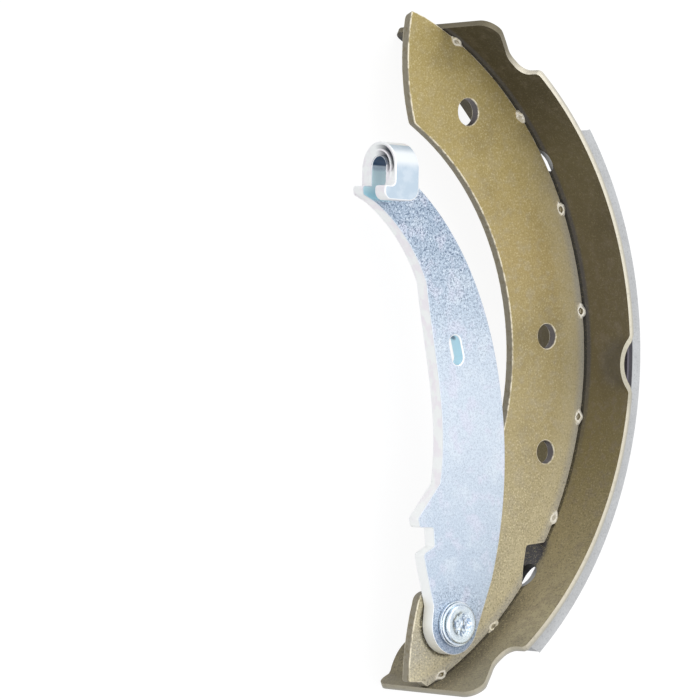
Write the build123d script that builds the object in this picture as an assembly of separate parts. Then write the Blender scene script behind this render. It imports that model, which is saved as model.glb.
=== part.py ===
from build123d import *
import math
import os

# Trailing shoe of a 203.2 mm drum brake, with its parking-brake lever.
# Frame: Z is the drum's axis, and the shoe lies on one edge of its table at Z = 0, lever side up.
# X runs from the drum's axis to the middle of the table. Millimetres and degrees throughout.

# ---- table and lining --------------------------------------------------------------------
FRICTION_RADIUS = 101.5       # drum radius of 101.6 mm less the wear-in clearance
LINING_THICKNESS = 5.0
TABLE_THICKNESS = 1.5
TABLE_OUTER = FRICTION_RADIUS - LINING_THICKNESS
TABLE_INNER = TABLE_OUTER - TABLE_THICKNESS
TABLE_WIDTH = 37.2
TABLE_HALF_ANGLE = 65.3
TAB_CORNER = 2.5              # rounded corners of the four end tabs

LINING_WIDTH = 32.2
LINING_MIDDLE_ANGLE = -5.7
LINING_BONDED_HALF_ANGLE = 44.75
LINING_FRICTION_HALF_ANGLE = 43.3
LINING_EDGE_BREAK = 0.4

# ---- details of the table ----------------------------------------------------------------
WINDOW_ANGLES = (34.6, -37.1)
WINDOW_DIAMETER = 7.8
LINING_WINDOW_ANGLES = (33.2, -35.7)
LINING_WINDOW_SIZE = (11.0, 9.0)
LINING_WINDOW_HEIGHT = 14.5   # Z of the middle of the lining's windows

BITE_ANGLE = 57.0             # reference angle of the bite beside each end tab
BITE_DEPTH = 6.2
BITE_STEEP_SIDE = -8.2        # along the table from the reference angle, positive toward the end
BITE_FLOOR_END = -1.5
BITE_MOUTH = 8.8
BITE_OVERSHOOT = 3.0
BITE_STEEP_FILLET = 3.0
BITE_FLOOR_FILLET = 8.0
BITE_STEEP_LIP = 1.0           # rounding where the bite meets the edge
BITE_MOUTH_LIP = 3.0

# Pads pressed inward at the table's edges: angle, Z of the edge, depth, reach along Z, radius.
EDGE_PADS = [(0.0, TABLE_WIDTH, 3.2, 7.0, 9.8), (56.0, 0.0, 4.3, 9.0, 13.1), (-56.0, 0.0, 4.3, 9.0, 13.1)]
PAD_BLEND = 3.5               # outside bend radius where a pad runs into the table
PAD_EASE = 0.02               # keeps the pads' outlines just clear of the table's own faces

# ---- web ---------------------------------------------------------------------------------
WEB_THICKNESS = 2.6
WEB_BOTTOM = (TABLE_WIDTH - WEB_THICKNESS) / 2
WEB_TOP = WEB_BOTTOM + WEB_THICKNESS
WEB_INNER = 68.1

PISTON_SHOULDER = 69.3        # angle where the web leaves the table's circle for its tip
PISTON_TIP = (29.0, 90.1)
PISTON_FACE_MIDDLE = (28.0, 78.8)
PISTON_FACE_FOOT = (31.0, 60.8)
PISTON_HEEL_ANGLE = 59.6      # angle where the inner edge of the web begins
ANCHOR_LEDGE_ANGLE = -64.9
ANCHOR_LEDGE = (38.4, -84.8)
ANCHOR_CORNER = (33.7, -84.6)
ANCHOR_FACE_MIDDLE = (34.2, -74.9)
ANCHOR_NOSE = (37.0, -61.8)
ANCHOR_NECK = (44.2, -59.6)
ANCHOR_HEEL_ANGLE = -48.0
ANCHOR_NOSE_FILLET = 3.2
ANCHOR_NECK_FILLET = 5.0
ANCHOR_CORNER_FILLET = 0.7
WEB_HEEL_FILLET = 2.0

NOTCH_OUTLINE = [(84.0, -48.2), (75.0, -49.2), (74.1, -54.5), (73.6, -62.4)]
NOTCH_FILLET = 1.0
TOOL_HOLES = [((49.85, 65.15), 7.2), ((80.65, 7.0), 6.6), ((81.15, -24.1), 6.2)]

WELD_ANGLES = (-61.3, -47.6, -25.9, -8.7, 8.7, 25.8, 42.9, 61.1)
WELD_INSET = 0.6              # the middle of each nugget lies this far inside the table's face
WELD_FOOT_RADIUS = 2.3
WELD_CROWN_RADIUS = 1.5
WELD_HEIGHT = 1.0
WELD_PIT_RADIUS = 0.8

# ---- parking-brake lever -----------------------------------------------------------------
PIVOT = (45.8, -69.4)
LEVER_THICKNESS = 3.8
LEVER_CLEARANCE = 0.3         # between the web and the lever
LEVER_BOTTOM = WEB_TOP + LEVER_CLEARANCE
LEVER_TOP = LEVER_BOTTOM + LEVER_THICKNESS
LEVER_END_RADIUS = 8.1
LEVER_END_FINISH = -22        # angle about the pivot where the round end runs into the outer curve

HORN_TIP = (9.8, 43.3)
HORN_FOOT = (10.1, 41.0)
HOOK_SIDE_CURVE = [(14.3, 39.2), (25.5, 30.1), (32.7, 19.4)]
INNER_FLANK = [(36.7, 0.1), (39.9, -21.5)]
TOE = [(39.3, -32.8), (31.9, -41.9), (32.6, -44.25)]
STRUT_NOTCH = [(37.35, -44.25), (37.95, -49.15)]
HEEL = [(34.1, -51.2), (38.1, -64.8)]
OUTER_CURVE = [(58.6, -58.1), (62.2, -35.6), (60.9, -11.9), (54.6, 10.7), (43.8, 29.6), (27.2, 45.2)]
HORN_FILLET = 0.8
TOE_FILLET = 0.8
NOTCH_CORNER_FILLET = 0.6
HEEL_FILLET = 1.2

SLOT_MIDDLE = (43.95, 2.15)
SLOT_DIRECTION = -73.4
SLOT_SIZE = (7.8, 3.9)

HOOK_LEFT = 12.8
HOOK_WIDTH = 8.2
HOOK_GAP = 5.4
HOOK_SHOULDER_Y = 47.2
HOOK_BEND_Y = 48.2
HOOK_LIP_Y = 39.5
HOOK_LIP_CORNER = 3.2
HOOK_EAR = (3.5, 3.7)         # reach beside the strip, and width along it
HOOK_EAR_CORNER = 2.2
HOOK_EAR_ROOT = 1.2

# ---- pivot pin and washers ---------------------------------------------------------------
PIN_DIAMETER = 8.0
LEVER_PLAY = 0.12             # by which the lever's bore is wider than the pin
WASHER_PLAY = 0.2
BACK_HEAD = (11.0, 1.8)       # diameter and height
BACK_HEAD_CHAMFER = 0.5
FRONT_HEAD = (10.2, 0.9)
FRONT_HEAD_CHAMFER = 0.3
CRATER = (2.9, 1.9, 0.35)     # radii and depth of the mark that the peening tool leaves

FLAT_WASHER = (11.9, 0.8)     # diameter and thickness
WASHER_CLEARANCE = 0.15       # between the lever and the flat washer
FLAT_WASHER_BOTTOM = LEVER_TOP + WASHER_CLEARANCE
SPRING_WASHER = (11.3, 0.5)
SPRING_WASHER_BOW = 0.4
SPRING_WASHER_BOTTOM = FLAT_WASHER_BOTTOM + FLAT_WASHER[1]
FRONT_HEAD_BOTTOM = SPRING_WASHER_BOTTOM + SPRING_WASHER_BOW + SPRING_WASHER[1]

FROM_BELOW = (Align.CENTER, Align.CENTER, Align.MIN)


def at_angle(radius, degrees):
    """Point at this radius from the drum's axis and this angle from X."""
    return (radius * math.cos(math.radians(degrees)), radius * math.sin(math.radians(degrees)))


def table_plane(radius, degrees, height=0.0):
    """Plane square to the table's radius: X along the table, Y up the shoe's width, Z outward."""
    x, y = at_angle(radius, degrees)
    along = (*at_angle(1, degrees + 90), 0)
    outward = (*at_angle(1, degrees), 0)
    return Plane(origin=(x, y, height), x_dir=along, z_dir=outward)


def make_web():
    """Flat crescent web with curved ends, three tool holes, a notch, and its weld nuggets."""
    shoulder = at_angle(TABLE_INNER, PISTON_SHOULDER)
    piston_heel = at_angle(WEB_INNER, PISTON_HEEL_ANGLE)
    anchor_heel = at_angle(WEB_INNER, ANCHOR_HEEL_ANGLE)
    ledge_end = at_angle(TABLE_INNER, ANCHOR_LEDGE_ANGLE)
    with BuildSketch() as outline:
        with BuildLine():
            ThreePointArc(ledge_end, (TABLE_INNER, 0), shoulder)
            Line(shoulder, PISTON_TIP)
            ThreePointArc(PISTON_TIP, PISTON_FACE_MIDDLE, PISTON_FACE_FOOT)
            Line(PISTON_FACE_FOOT, piston_heel)
            ThreePointArc(piston_heel, (WEB_INNER, 0), anchor_heel)
            Polyline(anchor_heel, ANCHOR_NECK, ANCHOR_NOSE)
            ThreePointArc(ANCHOR_NOSE, ANCHOR_FACE_MIDDLE, ANCHOR_CORNER)
            Polyline(ANCHOR_CORNER, ANCHOR_LEDGE, ledge_end)
        make_face()
        fillet([nearest(outline, ANCHOR_NOSE)], radius=ANCHOR_NOSE_FILLET)
        fillet([nearest(outline, ANCHOR_NECK)], radius=ANCHOR_NECK_FILLET)
        fillet([nearest(outline, ANCHOR_CORNER)], radius=ANCHOR_CORNER_FILLET)
        fillet([nearest(outline, heel) for heel in (anchor_heel, piston_heel)], radius=WEB_HEEL_FILLET)
    with BuildSketch() as notch:
        with BuildLine():
            Polyline(*NOTCH_OUTLINE, close=True)
        make_face()
        fillet([nearest(notch, NOTCH_OUTLINE[1])], radius=NOTCH_FILLET)
    holes = [Pos(*place) * Circle(diameter / 2) for place, diameter in TOOL_HOLES]
    flat = outline.sketch - notch.sketch - holes - Pos(*PIVOT) * Circle(PIN_DIAMETER / 2)
    web = Pos(0, 0, WEB_BOTTOM) * extrude(flat, amount=WEB_THICKNESS)
    return web + weld_nuggets()


def weld_nuggets():
    """Low cratered cones on both faces of the web, where it is welded to the table."""
    crown = Cone(WELD_FOOT_RADIUS, WELD_CROWN_RADIUS, WELD_HEIGHT, align=FROM_BELOW)
    pit = Pos(0, 0, WELD_HEIGHT) * Cone(0, 2 * WELD_PIT_RADIUS, WELD_HEIGHT)
    upper = Pos(0, 0, WEB_TOP) * (crown - pit)
    core = Pos(0, 0, WEB_BOTTOM) * Cylinder(WELD_FOOT_RADIUS, WEB_THICKNESS, align=FROM_BELOW)
    lower = Pos(0, 0, WEB_BOTTOM) * Rot(180, 0, 0) * (crown - pit)
    inside_table = Cylinder(TABLE_INNER, TABLE_WIDTH, align=FROM_BELOW)
    places = [Pos(*at_angle(TABLE_INNER - WELD_INSET, angle)) for angle in WELD_ANGLES]
    return [(place * (lower + core + upper)) & inside_table for place in places]


def nearest(sketch, point):
    """The sketch's corner that lies closest to this point."""
    return min(sketch.vertices(), key=lambda corner: (Vector(*point) - Vector(corner.X, corner.Y)).length)


def curved_strip(inner, outer, start, end, height):
    """Upright strip between two radii and two angles."""
    with BuildSketch() as section:
        with BuildLine():
            inside = CenterArc((0, 0), inner, start, end - start)
            outside = CenterArc((0, 0), outer, start, end - start)
            Line(inside @ 0, outside @ 0)
            Line(inside @ 1, outside @ 1)
        make_face()
    return extrude(section.sketch, amount=height)


def bite_cutter(side):
    """Prism that cuts one bite: side is 1 at the piston end and -1 at the anchor end."""
    floor = TABLE_WIDTH - BITE_DEPTH
    over = TABLE_WIDTH + BITE_OVERSHOOT
    steep, floor_end, mouth = (side * BITE_STEEP_SIDE, side * BITE_FLOOR_END, side * BITE_MOUTH)
    steep_end = steep - side * BITE_OVERSHOOT
    mouth_end = mouth + side * BITE_OVERSHOOT
    with BuildSketch() as profile:
        with BuildLine():
            Polyline((steep_end, over), (steep_end, TABLE_WIDTH), (steep, TABLE_WIDTH), (steep, floor))
            Polyline((steep, floor), (floor_end, floor), (mouth, TABLE_WIDTH), (mouth_end, TABLE_WIDTH))
            Polyline((mouth_end, TABLE_WIDTH), (mouth_end, over), (steep_end, over))
        make_face()
        fillet([nearest(profile, (steep, TABLE_WIDTH))], radius=BITE_STEEP_LIP)
        fillet([nearest(profile, (steep, floor))], radius=BITE_STEEP_FILLET)
        fillet([nearest(profile, (floor_end, floor))], radius=BITE_FLOOR_FILLET)
        fillet([nearest(profile, (mouth, TABLE_WIDTH))], radius=BITE_MOUTH_LIP)
    depth = 4 * TABLE_THICKNESS
    plane = table_plane(TABLE_INNER - depth, side * BITE_ANGLE)
    return plane * extrude(profile.sketch, amount=3 * depth)


def pad_spaces(angle, edge, depth, reach, radius):
    """Spaces outside the table's outer and inner faces at a pad, sheared so that it fades from its edge."""
    fade = Vector(depth, 0, reach if edge == 0 else -reach)
    spaces = []
    for face_radius, skin in ((TABLE_OUTER, 0), (TABLE_INNER, TABLE_THICKNESS)):
        bend = radius + skin
        outside = Pos(face_radius, 0) * Rectangle(2 * bend, 2 * bend) - Circle(face_radius + PAD_EASE)
        outline = outside + Pos(face_radius - depth + bend, 0) * Circle(bend)
        half_width = math.sqrt(depth * (2 * bend - depth))
        creases = [nearest(outline, (face_radius, side * half_width)) for side in (-1, 1)]
        outline = Pos(0, 0, edge) * fillet(creases, radius=PAD_BLEND - skin)
        spaces.append(Rot(0, 0, angle) * extrude(outline, amount=fade.length, dir=fade))
    return spaces


def make_table():
    """Curved table with rounded end tabs, side bites, round windows and pressed-in edge pads."""
    table = curved_strip(TABLE_INNER, TABLE_OUTER, -TABLE_HALF_ANGLE, TABLE_HALF_ANGLE, TABLE_WIDTH)
    tab_corners = table.edges().filter_by(GeomType.LINE).filter_by(Axis.Z, reverse=True)
    table = fillet(tab_corners, radius=TAB_CORNER)
    room = Cylinder(TABLE_INNER + TABLE_THICKNESS / 4, TABLE_WIDTH, align=FROM_BELOW)
    for pad in EDGE_PADS:
        hollow, skin = pad_spaces(*pad)
        table = table + (skin & room) - hollow
    for side in (1, -1):
        table -= bite_cutter(side)
    window = Cylinder(WINDOW_DIAMETER / 2, 6 * TABLE_THICKNESS)
    for angle in WINDOW_ANGLES:
        table -= table_plane(TABLE_INNER, angle, TABLE_WIDTH / 2) * window
    return table


def make_lining():
    """Friction lining with slanted ends and a window behind each round window of the table."""
    bonded_start = at_angle(TABLE_OUTER, LINING_MIDDLE_ANGLE - LINING_BONDED_HALF_ANGLE)
    bonded_end = at_angle(TABLE_OUTER, LINING_MIDDLE_ANGLE + LINING_BONDED_HALF_ANGLE)
    friction_start = at_angle(FRICTION_RADIUS, LINING_MIDDLE_ANGLE - LINING_FRICTION_HALF_ANGLE)
    friction_end = at_angle(FRICTION_RADIUS, LINING_MIDDLE_ANGLE + LINING_FRICTION_HALF_ANGLE)
    with BuildSketch() as section:
        with BuildLine():
            ThreePointArc(bonded_start, (TABLE_OUTER, 0), bonded_end)
            Line(bonded_end, friction_end)
            ThreePointArc(friction_end, (FRICTION_RADIUS, 0), friction_start)
            Line(friction_start, bonded_start)
        make_face()
    lining = Pos(0, 0, (TABLE_WIDTH - LINING_WIDTH) / 2) * extrude(section.sketch, amount=LINING_WIDTH)
    friction_face = lining.faces().sort_by(SortBy.AREA)[-1]
    lining = chamfer(friction_face.edges(), length=LINING_EDGE_BREAK)
    length, width = LINING_WINDOW_SIZE
    window = extrude(SlotOverall(length, width), amount=3 * LINING_THICKNESS)
    for angle in LINING_WINDOW_ANGLES:
        lining -= table_plane(TABLE_INNER, angle, LINING_WINDOW_HEIGHT) * window
    return lining


def lever_plate():
    """Flat part of the lever, from the pivot to the foot of the hook."""
    px, py = PIVOT
    hook_right = HOOK_LEFT + HOOK_WIDTH
    hook_foot = (HOOK_LEFT, HORN_TIP[1])
    end_start = (px - LEVER_END_RADIUS, py)
    end_x, end_y = at_angle(LEVER_END_RADIUS, LEVER_END_FINISH)
    end_finish = (px + end_x, py + end_y)
    with BuildSketch() as outline:
        with BuildLine():
            Polyline((hook_right, HOOK_BEND_Y), (HOOK_LEFT, HOOK_BEND_Y), hook_foot, HORN_TIP)
            Polyline(HORN_TIP, HORN_FOOT, HOOK_SIDE_CURVE[0])
            ThreePointArc(*HOOK_SIDE_CURVE)
            Spline(HOOK_SIDE_CURVE[-1], *INNER_FLANK, TOE[0])
            Polyline(*TOE, *STRUT_NOTCH, *HEEL, end_start)
            ThreePointArc(end_start, (px, py - LEVER_END_RADIUS), end_finish)
            Line(end_finish, OUTER_CURVE[0])
            Spline(*OUTER_CURVE)
            Polyline(OUTER_CURVE[-1], (hook_right, HOOK_SHOULDER_Y), (hook_right, HOOK_BEND_Y))
        make_face()
        fillet([nearest(outline, HORN_TIP), nearest(outline, HORN_FOOT)], radius=HORN_FILLET)
        fillet([nearest(outline, TOE[1]), nearest(outline, TOE[2])], radius=TOE_FILLET)
        fillet([nearest(outline, corner) for corner in STRUT_NOTCH], radius=NOTCH_CORNER_FILLET)
        fillet([nearest(outline, HEEL[0])], radius=HEEL_FILLET)
    plate = extrude(outline.sketch, amount=LEVER_THICKNESS)
    plate -= Pos(*PIVOT) * Cylinder((PIN_DIAMETER + LEVER_PLAY) / 2, 3 * LEVER_THICKNESS)
    slot = extrude(SlotOverall(*SLOT_SIZE), amount=LEVER_THICKNESS)
    plate -= Pos(*SLOT_MIDDLE) * Rot(0, 0, SLOT_DIRECTION) * slot
    return Pos(0, 0, LEVER_BOTTOM) * plate


def lever_hook():
    """Strip folded back over the lever, open below, with an ear at its lip: the parking cable's seat."""
    inner_bend = HOOK_GAP / 2
    outer_bend = inner_bend + LEVER_THICKNESS
    middle = LEVER_TOP + inner_bend
    flap_bottom = LEVER_TOP + HOOK_GAP
    flap_top = flap_bottom + LEVER_THICKNESS
    outer_crown = (HOOK_BEND_Y + outer_bend, middle)
    inner_crown = (HOOK_BEND_Y + inner_bend, middle)
    side_view = Plane(origin=(HOOK_LEFT, 0, 0), x_dir=(0, 1, 0), z_dir=(1, 0, 0))
    with BuildSketch() as profile:
        with BuildLine():
            ThreePointArc((HOOK_BEND_Y, LEVER_BOTTOM), outer_crown, (HOOK_BEND_Y, flap_top))
            Line((HOOK_BEND_Y, flap_top), (HOOK_BEND_Y, flap_bottom))
            ThreePointArc((HOOK_BEND_Y, flap_bottom), inner_crown, (HOOK_BEND_Y, LEVER_TOP))
            Line((HOOK_BEND_Y, LEVER_TOP), (HOOK_BEND_Y, LEVER_BOTTOM))
        make_face()
    bend = side_view * extrude(profile.sketch, amount=HOOK_WIDTH)
    return bend + Pos(0, 0, flap_bottom) * extrude(lever_flap(), amount=LEVER_THICKNESS)


def lever_flap():
    """Outline of the hook's flat end: the strip's width, and an ear beside its lip."""
    hook_right = HOOK_LEFT + HOOK_WIDTH
    reach, width = HOOK_EAR
    ear_left = HOOK_LEFT - reach
    ear_top = HOOK_LIP_Y + width
    with BuildSketch() as outline:
        with BuildLine():
            Polyline((hook_right, HOOK_BEND_Y), (HOOK_LEFT, HOOK_BEND_Y), (HOOK_LEFT, ear_top))
            Polyline((HOOK_LEFT, ear_top), (ear_left, ear_top), (ear_left, HOOK_LIP_Y))
            Polyline((ear_left, HOOK_LIP_Y), (hook_right, HOOK_LIP_Y), (hook_right, HOOK_BEND_Y))
        make_face()
        fillet([nearest(outline, (HOOK_LEFT, ear_top))], radius=HOOK_EAR_ROOT)
        fillet([nearest(outline, (ear_left, ear_top))], radius=HORN_FILLET)
        fillet([nearest(outline, (ear_left, HOOK_LIP_Y))], radius=HOOK_EAR_CORNER)
        fillet([nearest(outline, (hook_right, HOOK_LIP_Y))], radius=HOOK_LIP_CORNER)
    return outline.sketch


def make_lever():
    """Parking-brake lever: one pressed plate with its cable hook folded over the far end."""
    return lever_plate() + lever_hook()


def make_pivot_pin():
    """Riveted pin: plain back head, shank, and a peened head with the tool's crater in it."""
    back_diameter, back_height = BACK_HEAD
    front_diameter, front_height = FRONT_HEAD
    crater_mouth, crater_floor, crater_depth = CRATER
    back = Cylinder(back_diameter / 2, back_height, align=FROM_BELOW)
    back = chamfer(back.edges().group_by(Axis.Z)[0], length=BACK_HEAD_CHAMFER)
    back_bottom = WEB_BOTTOM - back_height
    shank = Cylinder(PIN_DIAMETER / 2, FRONT_HEAD_BOTTOM - WEB_BOTTOM, align=FROM_BELOW)
    front = Cylinder(front_diameter / 2, front_height, align=FROM_BELOW)
    front = chamfer(front.edges().group_by(Axis.Z)[-1], length=FRONT_HEAD_CHAMFER)
    crater = Cone(crater_floor, crater_mouth, crater_depth, align=FROM_BELOW)
    pin = Pos(0, 0, back_bottom) * back
    pin += Pos(0, 0, WEB_BOTTOM) * shank
    pin += Pos(0, 0, FRONT_HEAD_BOTTOM) * (front - Pos(0, 0, front_height - crater_depth) * crater)
    return Pos(*PIVOT) * pin


def washer_blank(diameter, height):
    """Plain ring with the washers' bore."""
    bore = PIN_DIAMETER + WASHER_PLAY
    return Cylinder(diameter / 2, height, align=FROM_BELOW) - Cylinder(bore / 2, 3 * height)


def make_flat_washer():
    """Plain washer on the lever."""
    return Pos(*PIVOT, FLAT_WASHER_BOTTOM) * washer_blank(*FLAT_WASHER)


def make_spring_washer():
    """Washer bowed about one axis, which presses the flat washer against the lever."""
    diameter, thickness = SPRING_WASHER
    bow_radius = (diameter / 2) ** 2 / (2 * SPRING_WASHER_BOW)
    outside = Cylinder(bow_radius + thickness, 2 * diameter, rotation=(90, 0, 0))
    inside = Cylinder(bow_radius, 3 * diameter, rotation=(90, 0, 0))
    bowed_shell = Pos(0, 0, SPRING_WASHER_BOW - bow_radius) * (outside - inside)
    blank = Pos(0, 0, -thickness) * washer_blank(diameter, SPRING_WASHER_BOW + 2 * thickness)
    return Pos(*PIVOT, SPRING_WASHER_BOTTOM) * (blank & bowed_shell)


MAKERS = {
    "web": make_web,
    "table": make_table,
    "lining": make_lining,
    "lever": make_lever,
    "pivot_pin": make_pivot_pin,
    "flat_washer": make_flat_washer,
    "spring_washer": make_spring_washer,
}

os.makedirs("parts", exist_ok=True)
for node, make in MAKERS.items():
    export_step(make(), f"parts/{node}.step")
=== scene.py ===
"""Looks of a trailing drum brake shoe with its parking-brake lever.

Everything is in metres in the part's own frame: Z is the drum's axis, and the shoe lies on one
edge of its table with the lever side up. X runs from the drum's axis to the middle of the table.
"""

import logging
import math
from dataclasses import dataclass
from enum import Enum
from typing import Any

import bmesh
import bpy
from mathutils import Matrix, Vector, noise


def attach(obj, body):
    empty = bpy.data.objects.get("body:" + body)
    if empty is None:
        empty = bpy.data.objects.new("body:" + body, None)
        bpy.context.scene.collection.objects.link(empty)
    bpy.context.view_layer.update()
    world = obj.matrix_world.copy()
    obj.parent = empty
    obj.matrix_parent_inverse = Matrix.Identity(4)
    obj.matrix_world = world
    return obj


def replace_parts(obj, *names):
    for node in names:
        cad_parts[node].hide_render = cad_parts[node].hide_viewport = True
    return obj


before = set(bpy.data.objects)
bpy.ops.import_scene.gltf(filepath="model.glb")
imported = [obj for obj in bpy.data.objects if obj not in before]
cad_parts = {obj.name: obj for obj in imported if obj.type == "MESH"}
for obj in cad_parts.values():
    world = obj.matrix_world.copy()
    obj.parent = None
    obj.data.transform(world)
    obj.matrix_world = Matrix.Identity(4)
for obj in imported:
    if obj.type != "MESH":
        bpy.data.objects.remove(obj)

LOG = logging.getLogger("brake_shoe")
MM = 0.001

EDGE_LAYER = "edge_break"
CUT_LAYER = "cut_face"
DARK_GROOVE_LAYER = "dark_groove"
SHADED_WALL_LAYER = "shaded_window_wall"
SPLASH_LAYER = "weld_splash"

Place = tuple[float, float, float]
Flat = tuple[float, float]
Stops = tuple[tuple[float, str], ...]

ORIGIN = (0.0, 0.0, 0.0)
ALL_AXES = (1.0, 1.0, 1.0)
FROM_Z_AXIS = (1.0, 1.0, 0.0)
FROM_X_AXIS = (0.0, 1.0, 1.0)
ALONG_Y = (0.0, 1.0, 0.0)
ALONG_Z = (0.0, 0.0, 1.0)

# Places that several pieces share, in millimetres.
PIVOT = (45.8, -69.4)
WEB_TOP = 19.9
WEB_BOTTOM = 17.3
# Finest grain of every finish: its width in millimetres, and the part of the noise's range that it fills.
GRAIN_SIZE = 0.5
GRAIN_SPAN = (0.3, 0.7)
# Distances in metres below which points are merged, and below which two places count as one.
MERGED = 0.001 * MM
TOUCHING = 0.01 * MM
# Turns between faces: flatter than the first they are one face, above the others they shade as a crease
# and their edge is broken.
FLAT_DEGREES = 0.5
CREASE_DEGREES = 32.0
SHARP_DEGREES = 35.0
# Share of a direction that a face's normal may have while the face still stands along that direction.
UPRIGHT = 0.5


class Body(Enum):
    """Rigid bodies of the part."""

    SHOE = "shoe"
    LEVER = "lever"


class Slot(Enum):
    """Material slots of the part."""

    WEB = "coated_steel"
    TABLE = "table_steel"
    LINING = "friction_material"
    LEVER = "zinc_steel"
    PIN = "bright_zinc"


# ---- small helpers ------------------------------------------------------------------------


def colour(code: str) -> tuple[float, float, float, float]:
    """Turn an sRGB hex value into Blender's linear colour.

    Args:
        code: Six hex digits after a hash.

    Returns:
        Linear red, green, blue and an alpha of one.
    """
    parts = [int(code[i : i + 2], 16) / 255 for i in (1, 3, 5)]
    linear = [p / 12.92 if p <= 0.04045 else ((p + 0.055) / 1.055) ** 2.4 for p in parts]
    return (*linear, 1.0)


def add_node(
    tree: bpy.types.NodeTree,
    kind: str,
    settings: dict[str, Any] | None = None,
    inputs: dict[str | int, Any] | None = None,
) -> bpy.types.Node:
    """Add one node with its settings, values and links.

    Args:
        tree: Node tree that the node goes into.
        kind: Blender's name of the node type.
        settings: Attributes to set on the node.
        inputs: Value or linked output for each named or numbered input.

    Returns:
        The new node.
    """
    node = tree.nodes.new(kind)
    for name, value in (settings or {}).items():
        setattr(node, name, value)
    for name, value in (inputs or {}).items():
        if isinstance(value, bpy.types.NodeSocket):
            tree.links.new(value, node.inputs[name])
        else:
            node.inputs[name].default_value = value
    return node


def per_metre(millimetres: float) -> float:
    """Texture scale at which one cell of the pattern is this many millimetres wide."""
    return 1.0 / (millimetres * MM)


@dataclass(frozen=True)
class Mottle:
    """Cloudy mask of noise.

    size is the width of a grain in millimetres. The mask goes from low to high as the noise goes from start
    to end. detail, rough and warp shape the noise.
    """

    size: float
    start: float
    end: float
    low: float = 0.0
    high: float = 1.0
    detail: float = 3.0
    rough: float = 0.5
    warp: float = 0.0


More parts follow.
